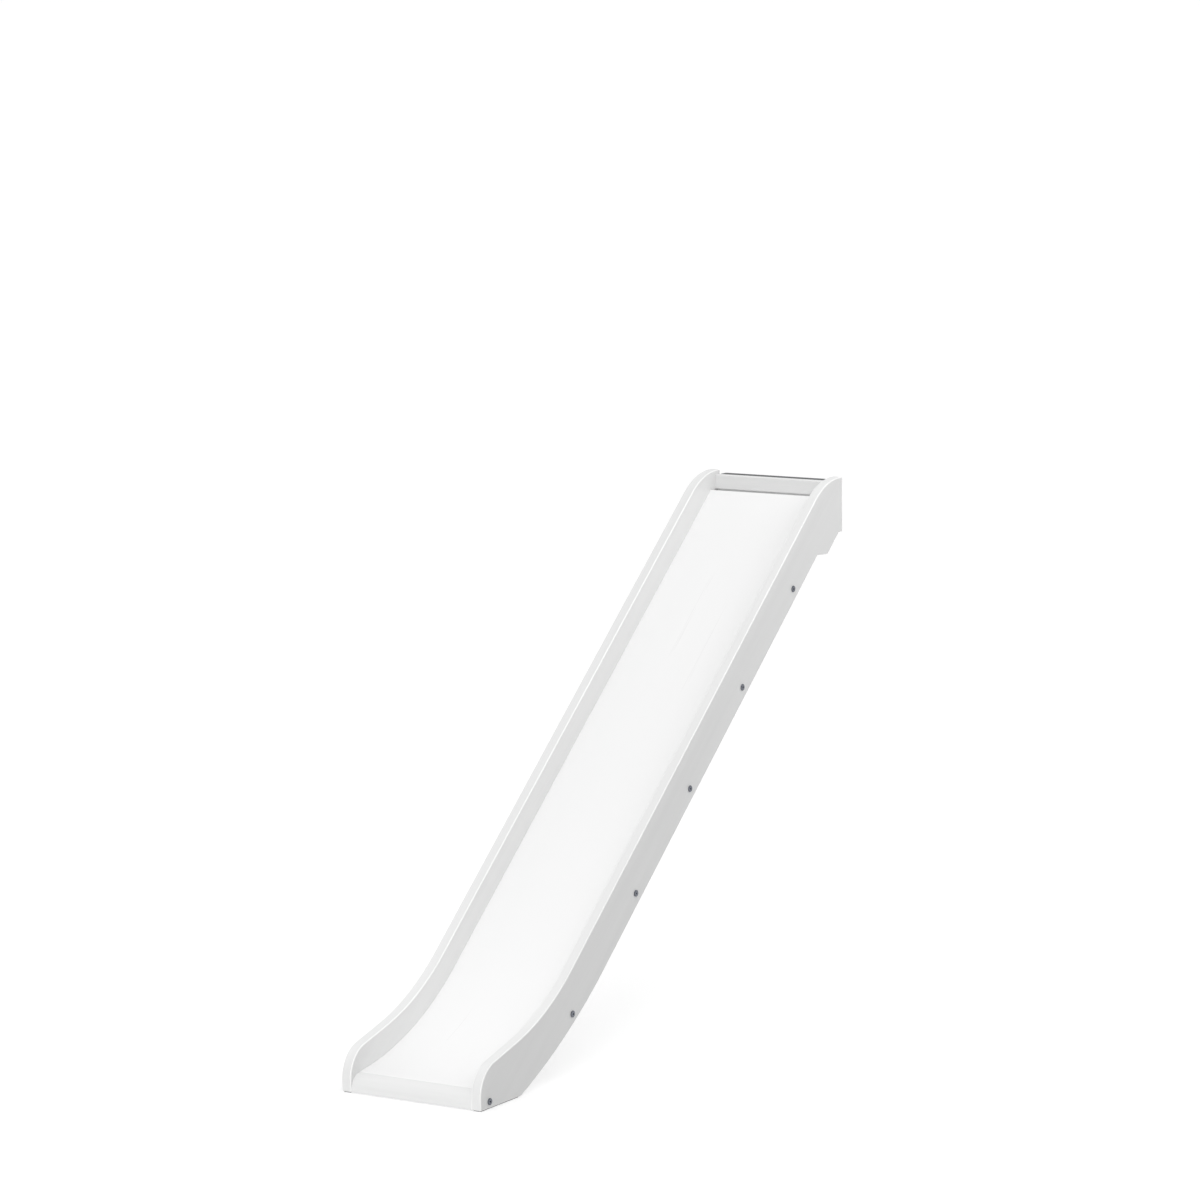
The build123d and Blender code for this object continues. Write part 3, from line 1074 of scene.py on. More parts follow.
@dataclass(frozen=True)
class ZincSteel:
    """Zinc-plated steel, cloudy and finely grained.

    Attributes:
        name: the material's name.
        colour: colour of the plating.
        roughness: lowest and highest.
        tints: factors on the colour, where the plating is darkest and lightest.
        spangle: turns for each metre of its clouds.
        grain: turns for each metre of its grain.
        relief: height of the grain in metres.
    """

    name: str
    colour: Triple
    roughness: Point
    tints: Point = (0.86, 1.12)
    spangle: float = 260
    grain: float = 2600
    relief: float = 0.00002

    def material(self) -> Material:
        """Clouds tint the plating, and its grain varies its gloss and raises it.

        Returns:
            The material.
        """
        shader = Shader(self.name)
        spangle = shader.noise((self.spangle,) * 3)
        grain = shader.noise((self.grain,) * 3, detail=2)
        shader.colour(shader.tinted(spangle, self.colour, self.tints))
        shader.roughness(shader.remap(shader.summed(spangle, grain, 0.5), *self.roughness, 0.5, 1.0))
        shader.bump(grain, self.relief, 0.4)
        shader.fix(Metallic=1.0)
        return shader.material


@dataclass(frozen=True)
class Beech:
    """Bare beech, with its pinkish ground and short dark flecks.

    Attributes:
        colour: colour of the ground.
        fleck: colour of the flecks.
        tints: factors on the ground's colour, where it is darkest and lightest.
        roughness: lowest and highest.
        fibres: turns for each metre of the fibres, on each axis.
        flecks: the same for the flecks.
        relief: height of the fibres in metres.
    """

    colour: Triple = (0.60, 0.40, 0.235)
    fleck: Triple = (0.33, 0.19, 0.10)
    tints: Point = (0.88, 1.10)
    roughness: Point = (0.52, 0.68)
    fibres: Triple = (30, 1600, 1600)
    flecks: Triple = (320, 1500, 1500)
    relief: float = 0.00008

    def material(self) -> Material:
        """Fibres run across the slide, with flecks a few millimetres long.

        Returns:
            The material.
        """
        shader = Shader("beech")
        fibres = shader.noise(self.fibres, detail=4)
        flecks = shader.noise(self.flecks, detail=2)
        ground = shader.tinted(fibres, self.colour, self.tints)
        shader.colour(shader.mixed(shader.remap(flecks, 0.0, 0.8, 0.62, 0.74), ground, self.fleck))
        shader.roughness(shader.remap(fibres, *self.roughness))
        shader.bump(fibres, self.relief, 0.5)
        return shader.material


@dataclass(frozen=True)
class Rubber:
    """Matt black moulded rubber.

    Attributes:
        colour: its colour.
        tints: factors on the colour, where it is clean and where it is dusty.
        roughness: lowest and highest.
        grain: turns for each metre of its grain.
        dust: turns for each metre of the dusty patches.
        relief: height of the grain in metres.
    """

    colour: Triple = (0.028, 0.028, 0.029)
    tints: Point = (1.0, 2.4)
    roughness: Point = (0.66, 0.86)
    grain: float = 1400
    dust: float = 70
    relief: float = 0.0001

    def material(self) -> Material:
        """A fine matt grain raises it, and dust lies on it in lighter patches.

        Returns:
            The material.
        """
        shader = Shader("pad_rubber")
        grain = shader.noise((self.grain,) * 3)
        dust = shader.noise((self.dust,) * 3)
        dusty = shader.remap(dust, 0.0, 0.5, 0.45, 0.75)
        shader.colour(shader.tinted(dusty, self.colour, self.tints))
        shader.roughness(shader.remap(grain, *self.roughness))
        shader.bump(grain, self.relief, 0.6)
        return shader.material


def finish(piece: bpy.types.Object, material: Material, slot_name: str, *nodes: str) -> None:
    """Gives a piece its material and body, and lets it stand for its CAD nodes.

    Args:
        piece: the piece.
        material: its finish.
        slot_name: not used.
        nodes: the CAD nodes that it stands for.
    """
    piece.data.materials.append(material)
    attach(piece, "root")
    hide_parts(*nodes)
    LOG.info("%s: %d faces, stands for %s", piece.name, len(piece.data.polygons), ", ".join(nodes))


# ---- Lines and stations that the slide's pieces share ---------------------------------------
STRAIGHT_RAILS = ("cross_rail_1", "cross_rail_2", "cross_rail_3", "cross_rail_4")
BEND_RAIL = "curve_cross_rail"


@dataclass(frozen=True)
class Station:
    """A place where a cross piece meets the side rails.

    Attributes:
        middle: (u, v) of the cross piece's middle.
        slope: degrees that it is tilted.
    """

    middle: Array
    slope: float


@dataclass(frozen=True)
class SlideLines:
    """The side view's shared lines.

    Attributes:
        view: the side view.
        length: rear face to tip.
        top: floor to the crest of the side rails.
        floor_gap: height of the wood above the floor, on the pads.
        inner: half the clear width between the side rails.
        outer: X of a side rail's outer face.
        slope: main slope.
        crest_run: rear face to the sharp corner of crest and slope.
        sheet: thickness of the bed.
        bed_depth: bed surface under the rails' top edge, square to the slope.
        bed_rear: rear face to the bed's top end.
        bed_front_inset: tip to the bed's front end.
        bed_front_height: height of the bed's front end.
        bed_radius: radius of the bed's bend.
        bed_run_out: slope of the bed at its front end.
        bend_rail_slope: slope of the cross rail under the bend.
        nose_bolt: behind the tip and above the floor, of the nose board's bolt.
        nose_dowel_pitch: that bolt to its dowel.
        dowel_spread: dowels either side of a cross rail's bolt.
        board_dowel_edge: the top board's edges to its outer dowels.
    """

    view: SideView
    length: float
    top: float
    floor_gap: float
    inner: float
    outer: float
    slope: float = 40.0
    crest_run: float = 0.0805
    sheet: float = 0.005
    bed_depth: float = 0.0585
    bed_rear: float = 0.045
    bed_front_inset: float = 0.034
    bed_front_height: float = 0.0418
    bed_radius: float = 0.714
    bed_run_out: float = 8.0
    bend_rail_slope: float = 34.5
    nose_bolt: Point = (0.035, 0.017)
    nose_dowel_pitch: float = 0.028
    dowel_spread: float = 0.020
    board_dowel_edge: float = 0.025

    @classmethod
    def from_frame(cls) -> "SlideLines":
        """Reads the overall sizes from the frame's right side rail.

        Returns:
            The lines.
        """
        low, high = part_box("right_side_rail")
        return cls(view=SideView(high.y), length=high.y - low.y, top=high.z, floor_gap=low.z,
                   inner=low.x, outer=high.x)

    @property
    def top_edge(self) -> Fall:
        """The rails' straight top edge."""
        return Fall.through((self.crest_run, self.top), self.slope)

    @property
    def bed_line(self) -> Fall:
        """The bed's straight surface."""
        return self.top_edge.lowered(self.bed_depth)

    @property
    def bed_end(self) -> Point:
        """(u, v) of the bed surface's front end."""
        return (self.length - self.bed_front_inset, self.bed_front_height)

    @property
    def run_out_line(self) -> Fall:
        """The bed's surface at its front end."""
        return Fall.through(self.bed_end, self.bed_run_out)

    def bed_band(self, above: float, under: float, end_gap: float, end_round: float) -> Loop:
        """Outline between two offsets of the bed surface.

        Args:
            above: its top above the bed surface.
            under: its underside below the bed surface.
            end_gap: how far it reaches past each end of the bed.
            end_round: rounding of its four end corners.

        Returns:
            The outline.
        """
        steep, shallow = self.bed_line, self.run_out_line
        start = np.array(steep.at(self.bed_rear)) - end_gap * steep.ahead
        stop = np.array(self.bed_end) + end_gap * shallow.ahead
        return rounded_loop([
            (start + above * steep.up, end_round),
            (steep.lowered(-above).meet(shallow.lowered(-above)), self.bed_radius - above),
            (stop + above * shallow.up, end_round),
            (stop - under * shallow.up, end_round),
            (steep.lowered(under).meet(shallow.lowered(under)), self.bed_radius + under),
            (start - under * steep.up, end_round),
        ])

    def cross_stations(self) -> list[Station]:
        """Station of each cross rail, from the middles of the frame's own nodes."""
        straight = [Station(self.view.middle(rail), self.slope) for rail in STRAIGHT_RAILS]
        return straight + [Station(self.view.middle(BEND_RAIL), self.bend_rail_slope)]

    def nose_point(self, behind: float = 0.0) -> Array:
        """(u, v) of the nose board's bolt, or of a place this far behind it."""
        return np.array([self.length - self.nose_bolt[0] - behind, self.nose_bolt[1]])

    def bolt_points(self) -> list[Array]:
        """(u, v) of every connector bolt."""
        return [station.middle for station in self.cross_stations()] + [self.nose_point()]

    def board_dowels(self) -> list[Array]:
        """(u, v) of the top board's dowels: one near each edge and one half way.

        Returns:
            The three places, from the lowest up.
        """
        middle = self.view.middle("top_board")
        reach = (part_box("top_board")[1].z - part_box("top_board")[0].z) / 2 - self.board_dowel_edge
        return [middle + (0, reach * share) for share in (-1, 0, 1)]

    def dowel_points(self) -> list[Array]:
        """(u, v) of every dowel: two at each cross rail, one in the nose, three in the top board.

        Returns:
            The places, in that order.
        """
        pairs = [station.middle + side * self.dowel_spread * Fall(0, station.slope).ahead
                 for station in self.cross_stations() for side in (-1, 1)]
        return pairs + [self.nose_point(self.nose_dowel_pitch)] + self.board_dowels()


# ---- The slide's pieces ---------------------------------------------------------------------
@dataclass(frozen=True)
class SideRail:
    """Shaped board with a crest, a straight run, a hollow curve and a flat foot.

    Attributes:
        lines: the shared lines.
        side: which of the two it is.
        depth: square to the slope.
        arris: rounding of its long edges.
        crest_radius: rounding of the crest.
        sweep_radius: radius of the hollow curve.
        foot_run: sharp corner of slope and run-out to the tip.
        run_out: slope of the top edge at the foot.
        tip: height of the tip's sharp corner, and its rounding.
        foot_length: tip to heel.
        heel: slope of the lower edge at the heel, and the radius of its bend.
        ear_extra: how much deeper the board is beside the top board.
        ear_drop: crest to the ear's bottom.
        step_drop: crest to the ear's step, and how much higher its front end is.
        corner: rounding of the outline's small corners.
        groove: depth of the bed's groove, its clearance on each face, and past each end.
        bolt_hole: radius of the holes for bolts.
        dowel_hole: radius and depth of the holes for dowels.
    """

    lines: SlideLines
    side: Side
    depth: float = 0.110
    arris: float = 0.0035
    crest_radius: float = 0.185
    sweep_radius: float = 0.592
    foot_run: float = 0.273
    run_out: float = 15.0
    tip: Point = (0.087, 0.076)
    foot_length: float = 0.164
    heel: Point = (24.5, 1.440)
    ear_extra: float = 0.034
    ear_drop: float = 0.135
    step_drop: Point = (0.182, 0.003)
    corner: float = 0.0036
    groove: Triple = (0.008, 0.00015, 0.002)
    bolt_hole: float = 0.0034
    dowel_hole: Point = (0.004, 0.016)

    def outline(self) -> Loop:
        """The board's side view.

        Returns:
            The outline, with the step under the ear a little higher in front.
        """
        lines = self.lines
        under = lines.top_edge.lowered(self.depth)
        ear = under.lowered(self.ear_extra)
        knee = lines.top_edge.at_height(self.tip[0] + self.foot_run * Fall(0, self.run_out).rate)
        heel = (lines.length - self.foot_length, lines.floor_gap)
        bottom, step = lines.top - self.ear_drop, lines.top - self.step_drop[0]
        return rounded_loop([
            ((0, lines.top), self.corner),
            ((lines.crest_run, lines.top), self.crest_radius),
            (knee, self.sweep_radius),
            ((lines.length, self.tip[0]), self.tip[1]),
            ((lines.length, lines.floor_gap), self.corner),
            (heel, self.corner),
            (under.meet(Fall.through(heel, self.heel[0])), self.heel[1]),
            (under.at_height(step + self.step_drop[1]), self.corner),
            (ear.at_height(step), self.corner),
            (ear.at_height(bottom), self.corner),
            ((0, bottom), self.corner),
        ])

    def build(self, paint: Material) -> None:
        """Carries the outline through the board, cuts groove and holes, and paints it.

        Args:
            paint: its finish.
        """
        lines, sign = self.lines, self.side.value
        left, right = sorted((sign * lines.inner, sign * lines.outer))
        board = Board(lines.view, self.outline(), left, right, self.arris, steps=6)
        depth, clear, past = self.groove
        channel = lines.bed_band(clear, lines.sheet + clear, past, 0.0)
        groove = Pocket(channel, ((0.0, depth),), floor=True)
        dowels = [stopped_hole(point, *self.dowel_hole) for point in lines.dowel_points()]
        bolts = [far_mouth(point, self.bolt_hole) for point in lines.bolt_points()]
        inner_face = [groove, *dowels, *bolts]
        outer_face = [open_hole(point, self.bolt_hole, right - left) for point in lines.bolt_points()]
        faces = (inner_face, outer_face)[::sign]
        name = f"{self.side.word}_side_rail"
        piece = solid(f"{name}_painted", [board.skin(), *board.end_plates(*faces)])
        finish(piece, paint, "painted_wood", name)


@dataclass(frozen=True)
class BedSheet:
    """Smooth sheet that lies in the side rails' grooves and bends once at the foot.

    Attributes:
        lines: the shared lines.
        in_groove: how far it reaches into each side rail.
        ease: rounding of its edges.
    """

    lines: SlideLines
    in_groove: float = 0.007
    ease: float = 0.0007

    def build(self, laminate: Material) -> None:
        """Carries the sheet's side view across the slide and gives it its laminate.

        Args:
            laminate: its finish.
        """
        half = self.lines.inner + self.in_groove
        band = self.lines.bed_band(0.0, self.lines.sheet, 0.0, self.ease * EASE_ROOM)
        board = Board(self.lines.view, band, -half, half, self.ease)
        piece = solid("bed_laminated", [board.skin(), *board.end_plates()])
        finish(piece, laminate, "bed_laminate", "slide_bed")


@dataclass(frozen=True)
class TopBoard:
    """Board between the side rails at the crest, with the hook plate on its back.

    Attributes:
        lines: the shared lines.
        hook: the hook plate that it carries.
        front_round: rounding of its front edges.
        ease: rounding of its other edges.
        gap: below and above the bed's top end, and depth, of the shadow gap in its front face.
        dowel_hole: radius and depth of the holes for dowels.
        screw_hole: radius and depth of the holes for screws.
    """

    lines: SlideLines
    hook: "HookPlate"
    front_round: float = 0.002
    ease: float = 0.0005
    gap: Triple = (0.0090, 0.0012, 0.0120)
    dowel_hole: Point = (0.004, 0.026)
    screw_hole: Point = (0.002, 0.015)

    def outline(self, rear: float, front: float, low: float, high: float) -> Loop:
        """The board's side view, with the shadow gap in front.

        Args:
            rear: u of its back.
            front: u of its front.
            low: height of its lower edge.
            high: height of its upper edge.

        Returns:
            The outline.
        """
        small, (under, over, deep) = self.ease * EASE_ROOM, self.gap
        bed_top = self.lines.bed_line.at(self.lines.bed_rear)[1]
        return rounded_loop([
            ((rear, low), small),
            ((rear, high), small),
            ((front, high), self.front_round),
            ((front, bed_top + over), small),
            ((front - deep, bed_top + over), small),
            ((front - deep, bed_top - under), small),
            ((front, bed_top - under), small),
            ((front, low), self.front_round),
        ])

    def build(self, paint: Material) -> None:
        """Carries its side view across the slide, bores it and paints it.

        Args:
            paint: its finish.
        """
        lines, hook = self.lines, self.hook
        low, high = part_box("top_board")
        rear, front = lines.view.rear - high.y, lines.view.rear - low.y
        loop = self.outline(rear, front, low.z, high.z)
        board = Board(lines.view, loop, low.x, high.x, self.ease)
        back, face = (loop.edge_near(np.array([u, hook.lock_height()])) for u in (rear, front))
        bores = [((rear, hook.lock_height()), open_hole((0, x), hook.lock_hole, front - rear))
                 for x in hook.lock_columns()]
        bores += [((rear, v), stopped_hole((0, x), *self.screw_hole))
                  for v in hook.screw_heights() for x in hook.screw_columns()]
        mouths = [((front, hook.lock_height()), far_mouth((0, x), hook.lock_hole))
                  for x in hook.lock_columns()]
        dowels = [stopped_hole(point, *self.dowel_hole) for point in lines.board_dowels()]
        parts = [board.skin((back, face)), *board.end_plates(dowels, dowels)]
        parts += board.flat(back, bores) + board.flat(face, mouths)
        finish(solid("top_board_painted", parts), paint, "painted_wood", "top_board")


@dataclass(frozen=True)
class NoseBoard:
    """Solid board under the bed's front end, rounded in front and rebated for the sheet.

    Attributes:
        lines: the shared lines.
        front_round: radius of its front.
        ease: rounding of its other edges.
        clearance: gap in front of the sheet's end.
        bolt_hole: radius and depth of the holes for bolts, up to the nuts.
        dowel_hole: radius and depth of the holes for dowels.
        nut_hole: radius and depth of the holes for barrel nuts.
        nut_inset: ends of the board to the nuts' axes.
    """

    lines: SlideLines
    front_round: float = 0.036
    ease: float = 0.0010
    clearance: float = 0.00015
    bolt_hole: Point = (0.0034, 0.027)
    dowel_hole: Point = (0.004, 0.026)
    nut_hole: Point = (0.0051, 0.0225)
    nut_inset: float = 0.033

    def outline(self, rear: float, front: float, low: float) -> Loop:
        """The board's side view, with the step that the sheet lies in.

        Args:
            rear: u of its back.
            front: u of its front.
            low: height of its underside.

        Returns:
            The outline.
        """
        surface, small = self.lines.run_out_line, self.ease * EASE_ROOM
        lip = np.array(self.lines.bed_end) + self.clearance * surface.ahead
        return rounded_loop([
            ((rear, low), small),
            (surface.lowered(self.lines.sheet).at(rear), small),
            (lip - self.lines.sheet * surface.up, small),
            (lip, small),
            (surface.at(front), self.front_round),
            ((front, low), small),
        ])

    def build(self, paint: Material) -> None:
        """Carries its side view across the slide, bores it and paints it.

        Args:
            paint: its finish.
        """
        lines = self.lines
        low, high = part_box("nose_board")
        rear, front = lines.view.rear - high.y, lines.view.rear - low.y
        loop = self.outline(rear, front, low.z)
        board = Board(lines.view, loop, low.x, high.x, self.ease, steps=6)
        bottom = loop.edge_near(np.array([(rear + front) / 2, low.z]))
        bores = [stopped_hole(lines.nose_point(), *self.bolt_hole),
                 stopped_hole(lines.nose_point(lines.nose_dowel_pitch), *self.dowel_hole)]
        nuts = [((lines.nose_point()[0], low.z), stopped_hole((0, x), *self.nut_hole))
                for x in (low.x + self.nut_inset, high.x - self.nut_inset)]
        parts = [board.skin((bottom,)), *board.end_plates(bores, bores), *board.flat(bottom, nuts)]
        finish(solid("nose_board_painted", parts), paint, "painted_wood", "nose_board")


@dataclass(frozen=True)
class HookPlate:
    """Bent steel plate that hangs over the bunk's rail.

    Attributes:
        lines: the shared lines.
        steel: thickness.
        throat: room for the bunk's rail.
        lip: depth of the free lip.
        leg: height of the leg on the top board.
        bend: inside radius.
        ease: rounding of the sheared edges.
        lock_hole: radius of the lock-bolt holes.
        lock_reach: X of a lock-bolt hole.
        lock_drop: seat to the lock-bolt holes.
        screw_reach: X of a screw.
        screw_drops: seat to each row of screws.
        screw_head: radius of a screw's head.
        screw_core: radius of a screw's shank.
    """

    lines: SlideLines
    steel: float = 0.003
    throat: float = 0.028
    lip: float = 0.024
    leg: float = 0.090
    bend: float = 0.002
    ease: float = 0.0004
    lock_hole: float = 0.0045
    lock_reach: float = 0.100
    lock_drop: float = 0.060
    screw_reach: float = 0.125
    screw_drops: Point = (0.020, 0.075)
    screw_head: float = 0.00475
    screw_core: float = 0.002

    @property
    def seat(self) -> float:
        """Height of the face that rests on the bunk's rail."""
        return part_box("hook_plate")[1].z - self.steel

    def lock_columns(self) -> Point:
        """X of both lock-bolt holes."""
        return (-self.lock_reach, self.lock_reach)

    def lock_height(self) -> float:
        """Height of the lock-bolt holes."""
        return self.seat - self.lock_drop

    def screw_columns(self) -> Point:
        """X of both columns of screws."""
        return (-self.screw_reach, self.screw_reach)

    def screw_heights(self) -> tuple[float, ...]:
        """Height of each row of screws."""
        return tuple(self.seat - drop for drop in self.screw_drops)

    def outline(self) -> Loop:
        """The plate's bent side view: leg on the top board, flange, and free lip behind.

        Returns:
            The outline.
        """
        seat, top, small = self.seat, self.seat + self.steel, self.ease * EASE_ROOM
        foot, lip, outside = seat - self.leg, seat - self.lip, self.bend + self.steel
        return rounded_loop([
            ((self.steel, foot), small),
            ((self.steel, top), outside),
            ((-self.throat - self.steel, top), outside),
            ((-self.throat - self.steel, lip), small),
            ((-self.throat, lip), small),
            ((-self.throat, seat), self.bend),
            ((0, seat), self.bend),
            ((0, foot), small),
        ])

    def build(self, coat: Material) -> None:
        """Carries its bent side view across the slide, drills it and coats it.

        Args:
            coat: its finish.
        """
        low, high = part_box("hook_plate")
        loop = self.outline()
        board = Board(self.lines.view, loop, low.x, high.x, self.ease)
        middle = self.seat - self.leg / 2
        back, face = (loop.edge_near(np.array([u, middle])) for u in (0, self.steel))
        sink = self.screw_head - self.screw_core
        rear_cuts, front_cuts = [], []
        countersunk = ((sink, sink), (sink, self.steel))
        for x in self.lock_columns():
            v = self.lock_height()
            rear_cuts.append(((0, v), open_hole((0, x), self.lock_hole, self.steel)))
            front_cuts.append(((self.steel, v), far_mouth((0, x), self.lock_hole)))
        for x, v in ((x, v) for x in self.screw_columns() for v in self.screw_heights()):
            rear_cuts.append(((0, v), Pocket(circle((0, x), self.screw_head), countersunk)))
            front_cuts.append(((self.steel, v), far_mouth((0, x), self.screw_core)))
        parts = [board.skin((back, face)), *board.end_plates()]
        parts += board.flat(back, rear_cuts) + board.flat(face, front_cuts)
        finish(solid("hook_plate_coated", parts), coat, "dark_steel", "hook_plate")


@dataclass(frozen=True)
class ConnectorBolt:
    """Flat-headed connector bolt with a hexagon socket.

    Attributes:
        lines: the shared lines.
        head: radius and thickness of the head.
        head_round: rounding of the head's rim.
        socket: width across flats, and depth.
        shank: radius.
        length: under the head.
        threaded: length of the thread.
        pitch: rise of one turn of the thread.
        cut: depth of the thread.
        mouth: growth of the socket's width over its chamfer, and the chamfer's depth.
        under_edge: chamfer under the head.
        rolls: degrees that the first bolt is turned, and each next one further.
    """

    lines: SlideLines
    head: Point = (0.00775, 0.0026)
    head_round: float = 0.0012
    socket: Point = (0.004, 0.002)
    shank: float = 0.003
    length: float = 0.0649
    threaded: float = 0.026
    pitch: float = 0.001
    cut: float = 0.0005
    mouth: Point = (1.10, 0.0002)
    under_edge: float = 0.0003
    rolls: Point = (17.0, 41.0)

    def shape(self) -> list[Patch]:
        """The bolt on Z, its head above z = 0.

        From pole to pole: socket floor and walls, the socket's chamfered mouth, a head whose rim is
        radius - round (1 - sin t) at height - round (1 - cos t), shank, thread and chamfered end.

        Returns:
            Its patches.
        """
        radius, thick = self.head
        across, depth = self.socket
        growth, lead = self.mouth
        bottom, rim_low = thick - depth, self.under_edge
        turn = np.linspace(0, np.pi / 2, 7)
        rim_radii = radius - self.head_round * (1 - np.sin(turn))
        rim_heights = thick - self.head_round * (1 - np.cos(turn))
        rim = rings([*rim_radii, radius, radius - rim_low], [*rim_heights, rim_low, 0.0])
        start, chamfer = -self.length + self.threaded, self.cut * 1.2
        neck = [hexagon(across), hexagon(across), hexagon(across * growth), radius - self.head_round]
        socket_rows = rings([0.0, *neck], [bottom, bottom, thick - lead, thick, thick])
        shank_rows = rings([radius - rim_low, self.shank, self.shank], [0.0, 0.0, start])
        screw = thread(start, -self.length + chamfer, self.shank, self.shank - self.cut, self.pitch)
        tip_radii = [self.shank, self.shank - chamfer, 0.0]
        tip = rings(tip_radii, [-self.length + chamfer, -self.length, -self.length])
        socket = [blended(socket_rows[row:row + 2], crisp=True) for row in range(4)]
        under = [blended(shank_rows[:2]), blended(shank_rows[1:])]
        return [*socket, blended(rim), *under, blended(screw), blended(tip[:2]), blended(tip[1:])]

    def build(self, side: Side, steel: Material) -> None:
        """Puts a bolt through a side rail at every bolt point, each stopped at its own angle.

        Args:
            side: the side rail's side.
            steel: their finish.
        """
        outside = side.value * self.lines.outer
        axis = np.array([float(side.value), 0, 0])
        first, step = self.rolls
        spots = [Spot(self.lines.view.place(point[None], outside)[0], axis, first + step * number)
                 for number, point in enumerate(self.lines.bolt_points())]
        node = f"bolts_{side.word}"
        piece = solid(f"{node}_plated", repeated(self.shape(), spots))
        finish(piece, steel, "bolt_steel", node)


@dataclass(frozen=True)
class HookScrew:
    """Countersunk screw with a cross recess.

    Attributes:
        hook: the plate that it holds.
        length: head to point.
        recess: half length and half width of the cross, and its depth.
        pitch: rise of one turn of the thread.
        cut: depth of the thread.
        point: length of the point.
        narrowing: shares of the cross's length and width left at its floor.
        rim: width and depth of the edge round the head's flat.
        rolls: degrees that the first screw is turned, and each next one further.
    """

    hook: HookPlate
    length: float = 0.018
    recess: Triple = (0.0024, 0.0005, 0.0017)
    pitch: float = 0.0016
    cut: float = 0.00045
    point: float = 0.004
    narrowing: Point = (0.6, 0.8)
    rim: float = 0.0001
    rolls: Point = (12.0, 31.0)

    def shape(self) -> list[Patch]:
        """The screw on Z with its flat head at z = 0.

        From pole to pole: recess floor, its tapered walls, the flat, a 45-degree cone, thread, and a
        point that is 0.55 of the core's radius half way down.

        Returns:
            Its patches.
        """
        head, core, rim = self.hook.screw_head, self.hook.screw_core, self.rim
        half_length, half_width, deep = self.recess
        wide = cross(half_length, half_width)
        narrow = cross(half_length * self.narrowing[0], half_width * self.narrowing[1])
        rows = rings([0.0, narrow, wide, head - rim], [-deep, -deep, 0.0, 0.0])
        sink = core - head - rim
        cone = rings([head - rim, head, core], [0.0, -rim, sink])
        low = -self.length + self.point
        screw = thread(sink, low, core, core - self.cut, self.pitch)
        tip = rings([core, core * 0.55, 0.0], [low, low - self.point * 0.5, -self.length])
        recess = [blended(rows[row:row + 2], crisp=True) for row in range(3)]
        return [*recess, blended(cone[:2]), blended(cone[1:]), blended(screw), blended(tip)]

    def build(self, steel: Material) -> None:
        """Puts a screw in each countersunk hole, each stopped at its own angle.

        Args:
            steel: their finish.
        """
        view, backwards = self.hook.lines.view, np.array([0, 1.0, 0])
        first, step = self.rolls
        places = [(x, v) for x in self.hook.screw_columns() for v in self.hook.screw_heights()]
        spots = [Spot(view.place(np.array([[0.0, v]]), x)[0], backwards, first + step * number)
                 for number, (x, v) in enumerate(places)]
        piece = solid("hook_screws_plated", repeated(self.shape(), spots))
        finish(piece, steel, "nut_steel", "hook_screws")


@dataclass(frozen=True)
class FootPad:
    """Rubber strip under a side rail's foot, with cross grooves on its underside.

    Attributes:
        lines: the shared lines.
        side: which of the two it is.
        ease: rounding of its edges.
        pitch: from groove to groove.
        groove: width and depth of a groove.
        margin: least length from an end of the strip to a groove's middle.
    """

    lines: SlideLines
    side: Side
    ease: float = 0.0002
    pitch: float = 0.006
    groove: Point = (0.002, 0.0006)
    margin: float = 0.006

    def build(self, rubber: Material) -> None:
        """Carries its grooved side view across the rail's foot.

        The grooves' middles are a pitch apart, with the same length left over at both ends, and each
        groove's four corners stand half a groove to each side of its middle, on the floor and a
        groove's depth above it.

        Args:
            rubber: its finish.
        """
        node = f"{self.side.word}_foot_pad"
        low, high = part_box(node)
        rear, front = self.lines.view.rear - high.y, self.lines.view.rear - low.y
        count = int((front - rear - 2 * self.margin) / self.pitch) + 1
        spare = (front - rear - (count - 1) * self.pitch) / 2
        middles = rear + spare + self.pitch * np.arange(count)
        width, deep = self.groove
        across = np.repeat(middles, 4) + np.tile(np.array([-1, -1, 1, 1]) * width / 2, count)
        upwards = low.z + np.tile(np.array([0, deep, deep, 0]), count)
        corners = np.stack([across, upwards], axis=1)
        small = self.ease * EASE_ROOM
        outline = [((rear, low.z), small), *((corner, small) for corner in corners),
                   ((front, low.z), small), ((front, high.z), small), ((rear, high.z), small)]
        board = Board(self.lines.view, rounded_loop(outline), low.x, high.x, self.ease, steps=3)
        piece = solid(f"{node}_moulded", [board.skin(), *board.end_plates()])
        finish(piece, rubber, "pad_rubber", node)


@dataclass(frozen=True)
class InnerPieces:
    """Cross rails, dowels and barrel nuts, shown as the frame made them.

    Attributes:
        paint: finish of the cross rails.
        wood: finish of the dowels.
        steel: finish of the barrel nuts.
    """

    paint: Material
    wood: Material
    steel: Material

    def dress(self) -> None:
        """Gives each of the frame's own nodes its finish."""
        chosen = {rail: self.paint for rail in (*STRAIGHT_RAILS, BEND_RAIL)}
        for side in Side:
            chosen[f"dowels_{side.word}"] = self.wood
            chosen[f"barrel_nuts_{side.word}"] = self.steel
        for node, material in chosen.items():
            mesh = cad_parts[node].data
            mesh.materials.clear()
            mesh.materials.append(material)
            LOG.info("%s: the frame's own mesh, dressed", node)


